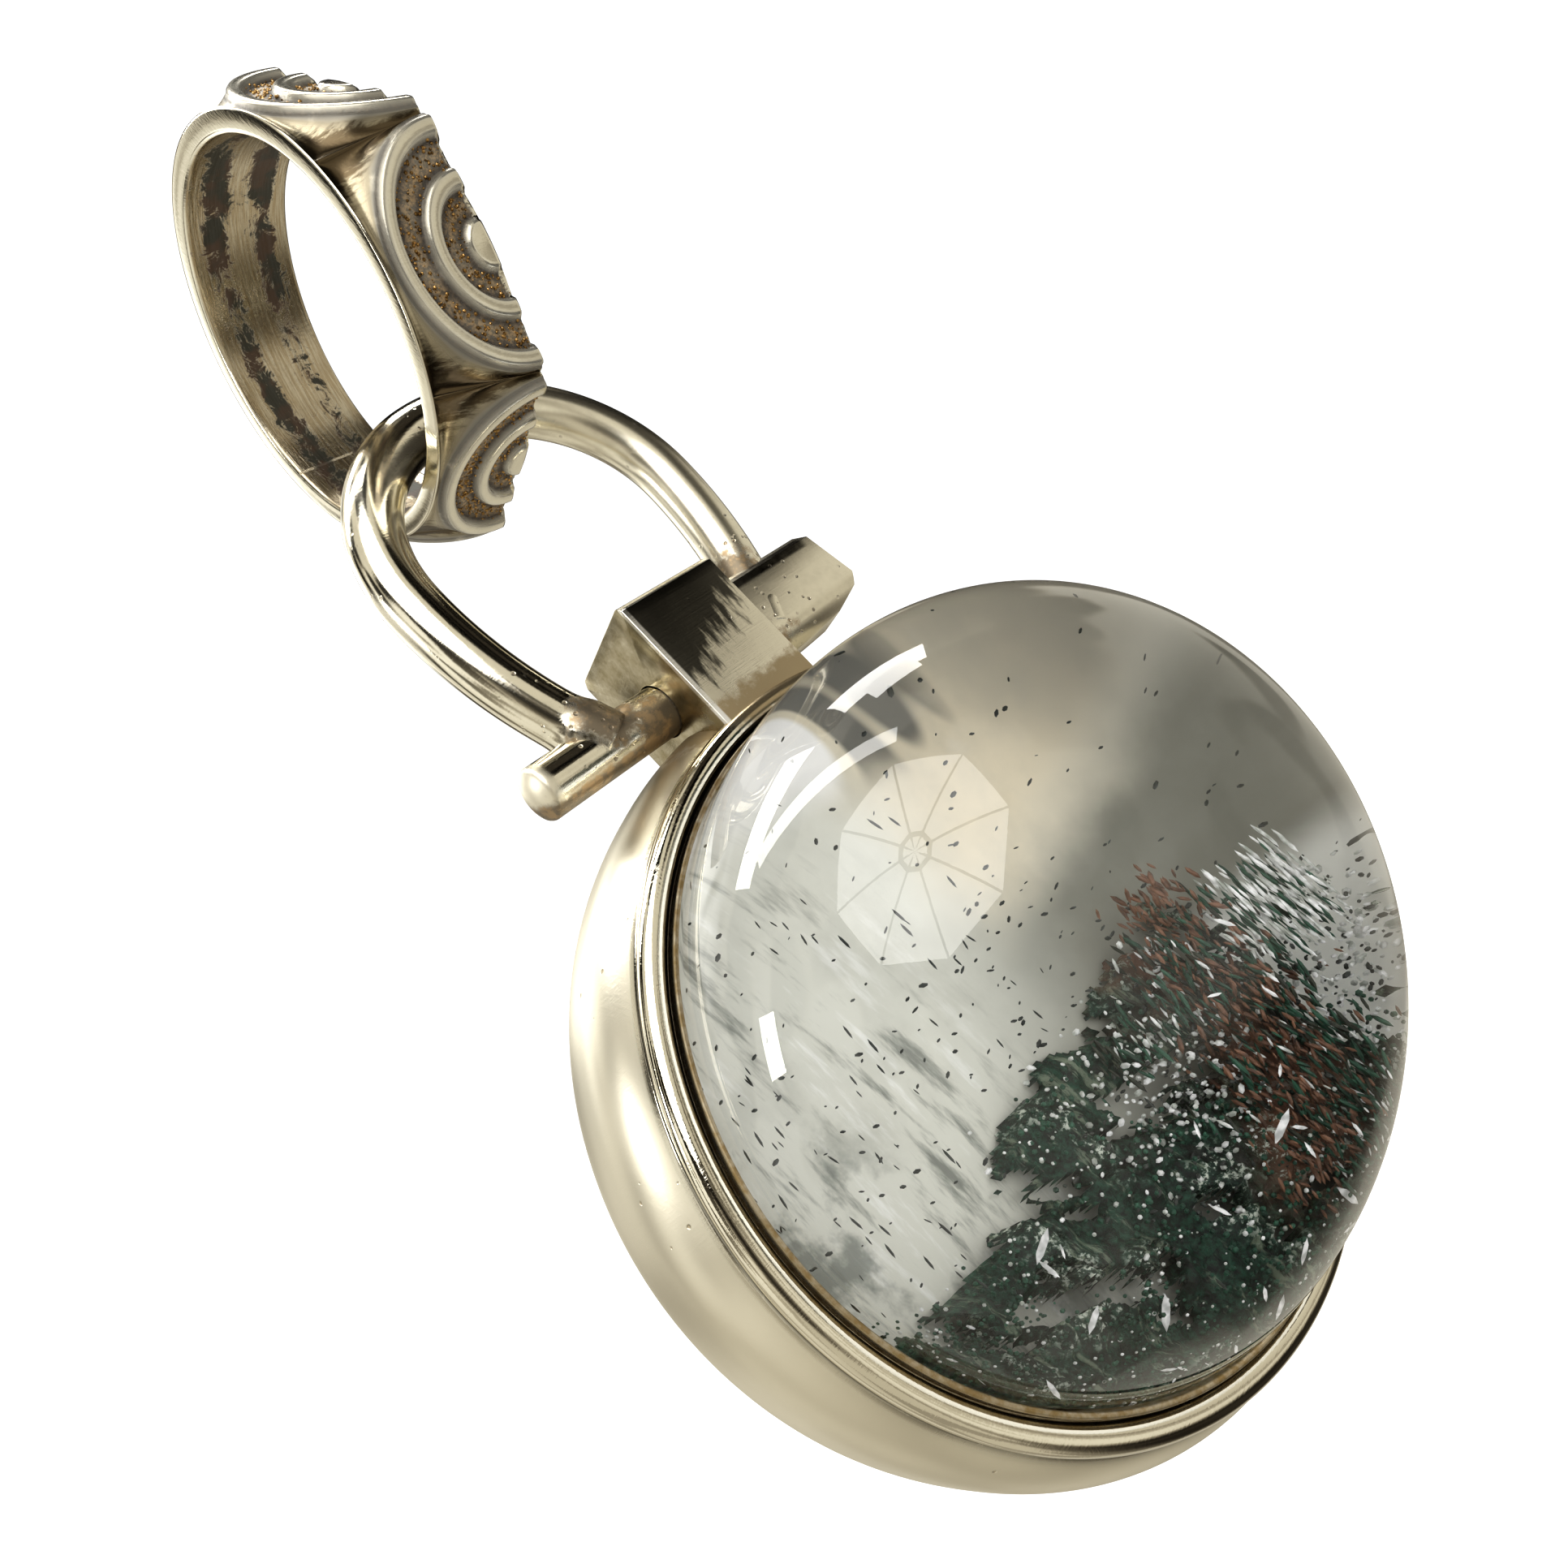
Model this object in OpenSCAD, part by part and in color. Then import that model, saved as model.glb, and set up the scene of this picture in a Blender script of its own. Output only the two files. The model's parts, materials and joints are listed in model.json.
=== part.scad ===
// Quartz pendant: a high quartz dome in a bowl-shaped silver setting, hinged on a crossbar
// that hangs from a wire loop in a wide cast bail. Millimetres, +Z up, front to -Y.
// The origin is the top of the bail's hole, where the chain or cord lies.

/* [Bail] */
// Radius of the bail's hole
hole_r = 6.65; // [6:0.05:7.5]
// Width of the bail along the cord
bail_w = 4.2; // [4:0.05:4.6]
// Thickness of the plain rims round the hole
rim_t = 0.75; // [0.6:0.05:0.9]
// Distance from the hole's axis to the ground of a face, at its middle
face_r = 7.45; // [7.4:0.05:7.8]
// Distance from the hole's axis to the corner between two faces
corner_r = 8.4; // [8.2:0.05:8.6]
// Height of the raised ovals over the stippled ground
relief_h = 0.28; // [0.1:0.02:0.4]
// Half length of the outer half oval, round the bail
oval_u = 4.05; // [3.6:0.05:4.1]
// Width of the outer half oval, across the bail from the faces' far edge
oval_w = 3.5; // [3.2:0.05:3.65]
// Distance from the bail's middle to the faces' far edge
far_w = 1.8; // [1.6:0.05:1.9]
// Angle of the front face's middle, 0 to the front and 90 up
face_turn = -32; // [-60:1:0]

/* [Loop] */
// Diameter of the loop's wire
wire_d = 2.1; // [1.8:0.05:2.4]
// Radius of the loop's top bend, to the wire's middle
bend_r = 6.25; // [5.6:0.05:7]
// Radius of the loop's long sides, to the wire's middle
side_r = 16.95; // [14:0.05:24]
// Height of the top bend's centre over the crossbar
bend_up = 7.9; // [7:0.1:9]
// Gap between the wire and the bail that it hangs in
seat_gap = 0.3; // [0.2:0.05:0.5]
// How far the wire lies behind the bail's axis
loop_y = 0.7; // [0:0.1:1.5]

/* [Crossbar] */
// Diameter of the crossbar
bar_d = 2; // [1.6:0.05:2.3]
// Distance from the setting's middle to the crossbar's domed end
bar_left = 7.8; // [6.5:0.1:9]
// Height of the head over the crossbar's axis
head_up = 2.6; // [2:0.05:3]
// Depth of the head, front to back
head_d = 2.4; // [2.2:0.05:2.5]
// Distance from the setting's middle to the head's end
head_right = 9; // [8:0.1:10]

/* [Setting] */
// Outer radius of the polished bead round the mouth
bead_r = 13.5; // [13:0.1:14]
// Thickness of the bead
bead_d = 0.9; // [0.6:0.05:1.2]
// Largest radius of the bulging side
bulge_r = 14.45; // [13.8:0.05:14.5]
// Depth from the bead to the widest place of the side
bulge_depth = 3; // [2:0.1:4]
// Depth from the bead to the middle of the back
back_depth = 11.4; // [10:0.1:12.5]
// Thickness of the silver
wall_t = 1.1; // [0.8:0.05:1.4]
// Height of the crossbar's axis over the bead's middle
bar_up = 15.6; // [15.6:0.05:16]
// Width, depth and height over the crossbar of the hinge block
block = [4.54, 5.0, 3.25]; // [2:0.01:6]
// How far the block's middle lies to the right of the setting's middle
block_right = 0.5; // [0:0.1:1]
// How far the crossbar lies behind the bead's middle
bar_back = 1.9; // [1.5:0.1:2.4]
// Radial clearance of the crossbar in the block
pin_gap = 0.05; // [0.02:0.01:0.1]

/* [Stone] */
// Radius of the stone at the lip
stone_r = 12.3; // [12:0.05:12.5]
// Height of the dome over the lip
dome_h = 10.6; // [9:0.1:12]
// How far the dome's top leans to the right and upwards
dome_lean = [1.6, 2.4]; // [0:0.1:3]
// Gap between the stone and the silver
stone_gap = 0.08; // [0.05:0.01:0.15]

/* [Hidden] */
$fn = 96;

silver = "#b9b09a";
dark_silver = "#9a8f78";
quartz = "#c8ccc6";

faces_n = 6;
face_span = 360 / faces_n;
rim_r = hole_r + rim_t;
rim_bevel = 0.15;
half_w = bail_w / 2;

// Fall of a face from the middle of its far edge to the near side
side_fall = 0.15;
bevel_sink = 0.2;
spokes = 32;

// The half ovals of a face from its middle outwards: size as a share of the outer one, raised or not
oval_size = 0;
oval_high = 1;
ovals = [
    [0.17, 1], [0.24, 0], [0.41, 0], [0.46, 1], [0.57, 1], [0.62, 0],
    [0.82, 0], [0.87, 1], [0.975, 1], [1.02, 0]
];

wire_r = wire_d / 2;
setting_x = 0.55;
loop_x = setting_x + 0.1;
wire_in = bend_r - wire_r;
wire_reach = half_w + loop_x;
wire_sag = wire_in - sqrt(pow(wire_in, 2) - pow(wire_reach, 2));
hole_low = -hole_r - sqrt(pow(hole_r, 2) - pow(loop_y, 2));
wire_z = hole_low + seat_gap + wire_sag + wire_r;
bend_z = wire_z - bend_r;
bar_z = bend_z - bend_up;
rim_y = loop_y - bar_back;
rim_z = bar_z - bar_up;
side_turn = asin(bend_up / side_r);

bar_r = bar_d / 2;
cap_r = 1.7;
head_gap = 0.12;
head_left = block_right + block[0] / 2 + head_gap;

bead_in = bead_r - bead_d;
bead_front = 0.3;
lip_front = 0.85;
wall_in = stone_r + stone_gap;
ledge_depth = 2.6;
ledge_t = 1.0;
ledge_in = 10.8;
mouth_fall = 1.0;
mouth_power = 2.5;
mouth_steps = 8;
bowl_power = 2.6;
bowl_steps = 26;
block_sink = 2.55;
block_edge = 0.25;

dome_foot = 0.78;
dome_rings = 14;
dome_sides = 72;

// A point of the bail at an angle round its axis, a radius and a place along it
function on_bail(angle, radius, x) = [x, -radius * cos(angle), radius * sin(angle) - hole_r];

// A point of a face from the middle of its far edge: along the bail's round, towards the near rim,
// and its distance from the axis
function outward(turn) = [0, -cos(turn), sin(turn)];
function on_face(turn, u, down, high) = let (out = high - side_fall * pow(down / oval_w, 2))
    [far_w - down, u * sin(turn), u * cos(turn) - hole_r] + out * outward(turn);

// Spokes run from one end of the far edge over the near side to its other end
function spoke(s) = 180 - 180 * s / spokes;
function on_oval(turn, a, size, high) = on_face(turn, size * oval_u * cos(a), size * oval_w * sin(a), high);

// The edge of a face's field in the direction of a spoke, as shares of its half span and its width
function field_edge(a) = [cos(a), sin(a)] / max(abs(cos(a)), sin(a));
function edge_point(turn, a) = let (
    e = field_edge(a),
    radius = e[1] > 0.999 ? rim_r : rim_r + (corner_r - rim_r) * (1 - e[1]) * abs(e[0])
) on_bail(turn + e[0] * face_span / 2, radius, far_w - e[1] * (far_w + half_w));
function bevel_point(turn, a) =
    (on_oval(turn, a, ovals[len(ovals) - 1][oval_size], face_r) + edge_point(turn, a)) / 2
    - bevel_sink * abs(sin(2 * a)) * outward(turn);

// Points of one face: its middle, then a row for each oval, the bevel's middle and the field's edge
function face_cloud(turn) = [
    on_face(turn, 0, 0, face_r + relief_h),
    for (o = ovals, s = [0 : spokes]) on_oval(turn, spoke(s), o[oval_size], face_r + relief_h * o[oval_high]),
    for (s = [0 : spokes]) bevel_point(turn, spoke(s)),
    for (s = [0 : spokes]) edge_point(turn, spoke(s))
];

rows_n = len(ovals) + 2;
face_points = 1 + rows_n * (spokes + 1);
function face_at(f, row, s) = f * face_points + 1 + row * (spokes + 1) + s;
function face_fan(f) = [for (s = [0 : spokes - 1]) [f * face_points, face_at(f, 0, s), face_at(f, 0, s + 1)]];
function face_skin(f) = [
    for (row = [0 : rows_n - 2], s = [0 : spokes - 1]) each [
        [face_at(f, row, s), face_at(f, row + 1, s), face_at(f, row, s + 1)],
        [face_at(f, row, s + 1), face_at(f, row + 1, s), face_at(f, row + 1, s + 1)]
    ]
];

// Neighbouring faces share the points of their edge once these are rounded alike
function snapped(p) = [for (v = p) round(v * 10000) / 10000];

// Points of a face's far edge, from one corner over its middle to the other
far_n = 2 * rows_n;
function far_at(f, j) = j < rows_n ? face_at(f, rows_n - 1 - j, 0)
    : (j == rows_n ? f * face_points : face_at(f, j - rows_n - 1, spokes));

// Rings round the bail from its far rim through the hole to the near rim: radius and place along it
rings = [
    [rim_r, half_w], [hole_r + rim_bevel, half_w], [hole_r, half_w - rim_bevel],
    [hole_r, rim_bevel - half_w], [hole_r + rim_bevel, -half_w]
];
ring_n = faces_n * far_n;
function ring_at(row, f, j) = faces_n * face_points + row * ring_n + (f * far_n + j) % ring_n;

// The near rim's points on the faces, and the one that each step of the last ring is joined to
near_n = spokes / 2;
function near_at(f, i) = face_at(f, rows_n - 1, spokes / 4 + i);
function near_of(j) = j < 0 ? 0 : (j < far_n ? floor(j * near_n / far_n + 0.5) : near_n);
function near_rim(f) = [
    for (j = [0 : far_n - 1]) [ring_at(4, f, j), ring_at(4, f, j + 1), near_at(f, near_of(j))],
    for (j = [1 : far_n]) if (near_of(j) > near_of(j - 1))
        [ring_at(4, f, j), near_at(f, near_of(j)), near_at(f, near_of(j - 1))]
];

module bail() {
    clouds = [for (f = [0 : faces_n - 1]) each face_cloud(face_turn + face_span * f)];
    far_edge = [for (f = [0 : faces_n - 1], j = [0 : far_n - 1]) clouds[far_at(f, j)]];
    angles = [for (p = far_edge) atan2(p[2] + hole_r, -p[1])];
    ring_cloud = [for (ring = rings, a = angles) on_bail(a, ring[0], ring[1])];
    skins = [for (f = [0 : faces_n - 1]) each concat(face_fan(f), face_skin(f), near_rim(f))];
    far_side = [
        for (f = [0 : faces_n - 1], j = [0 : far_n - 1]) each [
            [far_at(f, j), far_at(f, j + 1), ring_at(0, f, j + 1)],
            [far_at(f, j), ring_at(0, f, j + 1), ring_at(0, f, j)]
        ]
    ];
    inside = [
        for (row = [0 : len(rings) - 2], f = [0 : faces_n - 1], j = [0 : far_n - 1])
            [ring_at(row, f, j), ring_at(row, f, j + 1), ring_at(row + 1, f, j + 1), ring_at(row + 1, f, j)]
    ];
    points = [for (p = concat(clouds, ring_cloud)) snapped(p)];
    color(dark_silver) polyhedron(points = points, faces = concat(skins, far_side, inside));
}

// One bend of the wire in the loop's own plane, about the Y axis, from one angle to another
module wire_bend(centre_x, radius, from, to) {
    translate([centre_x, loop_y, bend_z]) rotate([90, 0, 0]) rotate([0, 0, from])
        rotate_extrude(angle = to - from) translate([radius, 0]) circle(r = wire_r);
}

module crossbar() {
    translate([setting_x, loop_y, bar_z]) intersection() {
        translate([-bar_left, 0, 0]) rotate([0, 90, 0]) cylinder(r = bar_r, h = bar_left + head_left + 1);
        union() {
            translate([-bar_left + cap_r, 0, 0]) sphere(r = cap_r);
            translate([-bar_left + cap_r, -bar_d, -bar_d]) cube([2 * bar_left, 2 * bar_d, 2 * bar_d]);
        }
    }
}

module head() {
    head_r = head_d / 2;
    edge = 0.35;
    under = [
        [head_left, -head_r], [head_left + 1.9, -head_r], [head_right - 1.6, -0.95], [head_right - 0.35, -0.5],
        [head_right, 0], [head_right - 0.5, head_up - edge], [head_right - 0.85, head_up], [head_left, head_up]
    ];
    translate([setting_x, loop_y, bar_z]) intersection() {
        union() {
            translate([head_left, 0, 0]) rotate([0, 90, 0]) cylinder(r = head_r, h = head_right - head_left);
            translate([head_left, 0, 0]) rotate([90, 0, 90]) linear_extrude(head_right - head_left)
                polygon([[-head_r, 0], [head_r, 0], [head_r, head_up - edge], [head_r - edge, head_up],
                    [-head_r + edge, head_up], [-head_r, head_up - edge]]);
        }
        translate([0, head_r, 0]) rotate([90, 0, 0]) linear_extrude(head_d) polygon(under);
    }
}

module loop() {
    color(silver) {
        wire_bend(loop_x, bend_r, 0, 180);
        wire_bend(loop_x + bend_r - side_r, side_r, -side_turn, 0);
        wire_bend(loop_x - bend_r + side_r, side_r, 180, 180 + side_turn);
        crossbar();
        head();
    }
}

// The side swells from the mouth to its widest place and then rounds over to the closed back
mouth_outline = [
    for (k = [0 : mouth_steps - 1]) let (share = 1 - k / mouth_steps)
        [bulge_r - mouth_fall * pow(share, mouth_power), -bulge_depth * (1 - share)]
];
function bowl_outline(radius, half, from) = [
    for (k = [0 : bowl_steps]) let (t = from + (90 - from) * k / bowl_steps)
        [radius * pow(cos(t), 2 / bowl_power), -bulge_depth - half * pow(sin(t), 2 / bowl_power)]
];

// The silver round the Y axis: x is the radius, y the distance in front of the bead's middle
module turned() {
    translate([setting_x, rim_y, rim_z]) rotate([90, 0, 0]) rotate_extrude() children();
}

module bowl() {
    half = back_depth - bulge_depth;
    hollow_front = ledge_depth + ledge_t;
    hollow_half = half - wall_t;
    hollow_from = asin(pow((hollow_front - bulge_depth) / hollow_half, bowl_power / 2));
    difference() {
        turned() polygon(concat(
            [[0, lip_front], [wall_in, lip_front], [bead_in, bead_front]],
            mouth_outline,
            bowl_outline(bulge_r, half, 0)
        ));
        turned() polygon([
            [0, lip_front + 1], [wall_in, lip_front + 1], [wall_in, -ledge_depth], [ledge_in, -ledge_depth],
            [ledge_in, -hollow_front], [0, -hollow_front]
        ]);
        turned() polygon(concat([[0, -hollow_front]], bowl_outline(bulge_r - wall_t, hollow_half, hollow_from)));
    }
}

module bead() {
    turned() translate([bead_r - bead_d / 2, bead_front]) circle(r = bead_d / 2);
}

module hinge_block() {
    low = [block_right - block[0] / 2, -block[1] / 2, -block_sink];
    high = block[2];
    half_d = block[1] / 2;
    translate([setting_x + low[0], loop_y, bar_z]) rotate([90, 0, 90]) linear_extrude(block[0])
        polygon([[-half_d, low[2]], [half_d, low[2]], [half_d, high - block_edge], [half_d - block_edge, high],
            [-half_d + block_edge, high], [-half_d, high - block_edge]]);
}

module setting() {
    color(silver) difference() {
        union() {
            bowl();
            bead();
            hinge_block();
        }
        translate([setting_x - bar_left, loop_y, bar_z]) rotate([0, 90, 0])
            cylinder(r = bar_r + pin_gap, h = 2 * bar_left);
    }
}

// Rings of the stone from its foot to the top: radius, distance in front of the bead, share of the lean
foot_depth = ledge_depth - stone_gap;
foot_edge = 0.4;
stone_rings = concat(
    [[stone_r - foot_edge, -foot_depth, 0], [stone_r, foot_edge - foot_depth, 0]],
    [for (k = [0 : dome_rings - 1]) let (a = 90 * k / dome_rings)
        [stone_r * cos(a), dome_foot + dome_h * sin(a), sin(a)]]
);

module stone() {
    rings_n = len(stone_rings);
    points = concat(
        [for (ring = stone_rings, s = [0 : dome_sides - 1]) let (a = 360 * s / dome_sides)
            [ring[0] * cos(a) + ring[2] * dome_lean[0], -ring[1], ring[0] * sin(a) + ring[2] * dome_lean[1]]],
        [[dome_lean[0], -dome_foot - dome_h, dome_lean[1]]]
    );
    top = rings_n * dome_sides;
    skin = [
        for (r = [0 : rings_n - 2], s = [0 : dome_sides - 1])
            let (next = (s + 1) % dome_sides, here = r * dome_sides, up = here + dome_sides) each [
                [here + s, up + s, here + next], [here + next, up + s, up + next]
            ]
    ];
    cap = [
        for (s = [0 : dome_sides - 1]) let (here = top - dome_sides)
            [here + s, top, here + (s + 1) % dome_sides]
    ];
    foot = [[for (s = [0 : dome_sides - 1]) s]];
    color(quartz, 0.6) translate([setting_x, rim_y, rim_z])
        polyhedron(points = points, faces = concat(foot, skin, cap));
}

bail();
loop();
setting();
stone();
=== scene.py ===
"""Quartz pendant: the looks of the bail, loop, setting and stone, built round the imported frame."""

import json
import math

import bmesh
import bpy
import numpy as np
from mathutils import Matrix, Vector


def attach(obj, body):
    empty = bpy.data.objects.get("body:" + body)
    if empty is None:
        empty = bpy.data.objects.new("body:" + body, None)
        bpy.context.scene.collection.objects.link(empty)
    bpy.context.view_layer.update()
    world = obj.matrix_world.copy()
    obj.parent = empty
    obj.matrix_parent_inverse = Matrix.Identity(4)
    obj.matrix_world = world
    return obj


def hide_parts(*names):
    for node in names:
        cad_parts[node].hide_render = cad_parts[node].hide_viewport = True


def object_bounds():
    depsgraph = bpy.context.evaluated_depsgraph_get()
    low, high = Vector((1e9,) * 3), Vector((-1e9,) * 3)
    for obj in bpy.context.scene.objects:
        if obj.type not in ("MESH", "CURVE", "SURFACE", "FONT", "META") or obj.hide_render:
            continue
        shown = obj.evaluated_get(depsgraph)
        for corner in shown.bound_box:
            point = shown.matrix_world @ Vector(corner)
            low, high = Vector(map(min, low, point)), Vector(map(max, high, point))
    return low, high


bl_info = {
    "name": "Quartz pendant",
    "version": (1, 0, 0),
    "blender": (4, 5, 0),
    "location": "View3D > Sidebar > Pendant",
    "description": "Builds a quartz pendant with its bail, loop, setting and stone",
    "category": "Object",
}

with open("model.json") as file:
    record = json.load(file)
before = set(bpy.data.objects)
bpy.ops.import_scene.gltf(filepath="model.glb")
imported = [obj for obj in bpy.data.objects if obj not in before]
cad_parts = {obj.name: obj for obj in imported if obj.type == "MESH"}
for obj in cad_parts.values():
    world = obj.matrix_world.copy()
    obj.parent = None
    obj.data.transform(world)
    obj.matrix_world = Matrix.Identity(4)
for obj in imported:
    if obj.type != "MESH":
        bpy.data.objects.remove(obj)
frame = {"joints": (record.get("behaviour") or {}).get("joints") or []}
CAD_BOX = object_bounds()
MM = 0.001
TO_MM = 1 / MM


# Places in the frame, in millimetres

JOINTS = {joint["name"]: Vector(joint["pos_m"]) / MM for joint in frame["joints"]}
BAR = JOINTS["drop_swing"]
WIRE_TOP = JOINTS["loop_swing"]
RIM = BAR - Vector((0, 1.9, 15.6))

# Bail, as in the CAD
HOLE_R = 6.65
BAIL_W = 4.2
RIM_R = HOLE_R + 0.75
FACE_R = 7.45
CORNER_R = 8.4
OVAL_U = 4.05
OVAL_W = 3.5
FAR_W = 1.8
FACE_TURN = -32
FACES = 6
SIDE_FALL = 0.15
BEVEL_SINK = 0.2

# Loop
WIRE_R = 1.05
BEND_R = 6.25
SIDE_R = 16.95
BEND_UP = 7.9
BAR_R = 1.0
BAR_LEFT = 7.8
CAP_R = 1.7
HEAD_LEFT = 2.89
HEAD_RIGHT = 9.0
HEAD_UP = 2.6
HEAD_R = 1.2

# Setting
BEAD_R = 13.5
BEAD_D = 0.9
BEAD_FRONT = 0.3
LIP_FRONT = 0.85
BULGE_R = 14.45
BULGE_DEPTH = 3.0
BACK_DEPTH = 11.4
WALL_T = 1.1
MOUTH_FALL = 1.0
MOUTH_POWER = 2.5
BOWL_POWER = 2.6
LEDGE_DEPTH = 2.6
LEDGE_T = 1.0
LEDGE_IN = 10.8
BLOCK = Vector((4.54, 5.0, 3.25))
BLOCK_RIGHT = 0.5
BLOCK_SINK = 2.55
BLOCK_EDGE = 0.25
BORE_R = 1.05

# Stone
STONE_R = 12.3
STONE_GAP = 0.08
DOME_FOOT = 0.78
DOME_H = 10.6
DOME_LEAN = (1.6, 2.4)
FOOT_EDGE = 0.4
FOOT_DEPTH = LEDGE_DEPTH - STONE_GAP
QUARTZ_IOR = 1.544


# Maths on arrays

NOISE_CELLS = 64
NOISE_SHIFT = 40


def step(low, high, x):
    """Smooth step from 0 at low to 1 at high."""
    share = np.clip((x - low) / (high - low), 0, 1)
    return share * share * (3 - 2 * share)


def bell(distance, width):
    """1 in the middle and about a third at the width."""
    return np.exp(-((distance / width) ** 2))


def oval_bell(x, z, middle, radii):
    """A bell over an oval round a middle."""
    return np.exp(-(((x - middle[0]) / radii[0]) ** 2 + ((z - middle[1]) / radii[1]) ** 2))


def lattice(u, v, seed):
    """Value noise from 0 to 1 at places u, v, with cells one unit wide."""
    table = np.random.default_rng(seed).random((NOISE_CELLS, NOISE_CELLS))
    iu, iv = np.floor(u).astype(int), np.floor(v).astype(int)
    fu, fv = step(0, 1, u - iu), step(0, 1, v - iv)

    def row(j):
        near, far = (table[i % NOISE_CELLS, j % NOISE_CELLS] for i in (iu, iu + 1))
        return near * (1 - fu) + far * fu

    return row(iv) * (1 - fv) + row(iv + 1) * fv


def rough(x, z, cell, seed, octaves=4, squash=1.0):
    """Noise from 0 to 1 of several octaves, the largest with cells of the size given, in millimetres."""
    u, v = x + NOISE_SHIFT, (z + NOISE_SHIFT) * squash
    total, weight = 0, 0
    for k in range(octaves):
        share = 0.5 ** k
        total = total + share * lattice(u / (cell * share), v / (cell * share), seed + k)
        weight += share
    return total / weight


# Meshes

# Points closer than this are one, in metres
MERGE = 2e-7
BAIL_MERGE = 1.5e-7
CUT_MERGE = 1e-7
SHARP_ANGLE = 25
EDGE_SEGMENTS = 3


def full_turn(count):
    """Angles round a whole turn."""
    return np.linspace(0, 2 * math.pi, count, endpoint=False)


def as_points(x, y, z):
    return np.stack([x, y, z], -1).reshape(-1, 3)


def ring_faces(rows, spokes, first=0, closed=False):
    """Quads between neighbouring rings of points, which may also close from the last ring to the first."""
    made = []
    for r in range(rows if closed else rows - 1):
        here, there = first + r * spokes, first + (r + 1) % rows * spokes
        for s in range(spokes):
            t = (s + 1) % spokes
            made.append((here + s, there + s, there + t, here + t))
    return made


def ring_cap(ring, spokes):
    """The face that closes a ring of points."""
    return tuple(range(ring * spokes, (ring + 1) * spokes))


def sheet_faces(rows, columns, first=0):
    """Quads of an open grid of points."""
    here = [first + r * columns + c for r in range(rows - 1) for c in range(columns - 1)]
    return [(k, k + columns, k + columns + 1, k + 1) for k in here]


def kept_faces(keep):
    """Quads of an open grid wherever all four points are kept, the other way round from a sheet's."""
    index = np.arange(keep.size).reshape(keep.shape)
    whole = keep[:-1, :-1] & keep[1:, :-1] & keep[:-1, 1:] & keep[1:, 1:]
    quads = np.stack([index[:-1, :-1], index[:-1, 1:], index[1:, 1:], index[1:, :-1]], -1)
    return [tuple(q) for q in quads[whole]]


def add_object(name, data):
    made = bpy.data.objects.new(name, data)
    bpy.context.scene.collection.objects.link(made)
    return made


def set_field(mesh, name, values):
    """Gives every vertex of a mesh a number under a name."""
    layer = mesh.attributes.new(name, "FLOAT", "POINT")
    layer.data.foreach_set("value", np.asarray(values, np.float32))


def write_back(work, mesh):
    """Writes an edited mesh back with its faces outwards and smooth."""
    bmesh.ops.recalc_face_normals(work, faces=work.faces)
    for face in work.faces:
        face.smooth = True
    work.to_mesh(mesh)
    work.free()


def make_piece(name, points, faces, materials, fields=None, merge=MERGE):
    """A mesh object from points in millimetres, with its doubles merged and its faces outwards."""
    mesh = bpy.data.meshes.new(name)
    mesh.from_pydata((np.asarray(points) * MM).tolist(), [], faces)
    for field, values in (fields or {}).items():
        set_field(mesh, field, values)
    work = bmesh.new()
    work.from_mesh(mesh)
    bmesh.ops.remove_doubles(work, verts=work.verts, dist=merge)
    bmesh.ops.dissolve_degenerate(work, edges=work.edges, dist=merge)
    write_back(work, mesh)
    for material in materials:
        mesh.materials.append(material)
    return add_object(name, mesh)


def turned(profile, spokes):
    """Points of a profile turned about the setting's axis: radius, distance in front of the rim's plane."""
    angle = full_turn(spokes)
    radius, front = np.array(profile).T
    x = np.outer(radius, np.cos(angle)) + RIM.x
    z = np.outer(radius, np.sin(angle)) + RIM.z
    y = np.repeat(RIM.y - front, spokes).reshape(x.shape)
    return as_points(x, y, z)


def arc(centre, radius, start, end, steps):
    """Points of an arc from one angle to another, in degrees."""
    angles = np.radians(np.linspace(start, end, steps))
    return [(centre[0] + radius * math.cos(a), centre[1] + radius * math.sin(a)) for a in angles]


def baked(item):
    """An object's mesh with its modifiers applied."""
    return bpy.data.meshes.new_from_object(item.evaluated_get(bpy.context.evaluated_depsgraph_get()))


def finish_edges(piece, width):
    """Rounds the sharp edges of a piece with a Bevel modifier and applies it."""
    bevel = piece.modifiers.new("Edges", "BEVEL")
    bevel.width, bevel.segments, bevel.limit_method = width * MM, EDGE_SEGMENTS, "ANGLE"
    bevel.angle_limit, bevel.harden_normals = math.radians(SHARP_ANGLE), False
    mesh = baked(piece)
    piece.modifiers.clear()
    piece.data = mesh
    return piece


def dress(piece, body, slot, *nodes):
    """Ties a piece to its body and hides the CAD nodes that it stands for; its material slot is not used.
    """
    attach(piece, body)
    if nodes:
        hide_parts(*nodes)


# Shader maths

class Wire:
    """An output of a material's nodes; arithmetic on it adds the Math nodes that work it out."""

    def __init__(self, paint, socket):
        self.paint, self.socket = paint, socket

    def maths(self, operation, first, second=0.0, clamp=False):
        settings = {"operation": operation, "use_clamp": clamp}
        return self.paint.node("ShaderNodeMath", settings, {0: first, 1: second})

    def __add__(self, other):
        return self.maths("ADD", self, other)

    __radd__ = __add__

    def __sub__(self, other):
        return self.maths("SUBTRACT", self, other)

    def __rsub__(self, other):
        return self.maths("SUBTRACT", other, self)

    def __mul__(self, other):
        return self.maths("MULTIPLY", self, other)

    __rmul__ = __mul__

    def most(self, other):
        return self.maths("MAXIMUM", self, other)

    def absolute(self):
        return self.maths("ABSOLUTE", self)

    def clamp(self):
        return self.maths("ADD", self, clamp=True)

    def step(self, low, high, start=0.0, end=1.0):
        return self.paint.node(
            "ShaderNodeMapRange", {"interpolation_type": "SMOOTHSTEP"},
            {"Value": self, "From Min": low, "From Max": high, "To Min": start, "To Max": end})


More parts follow.
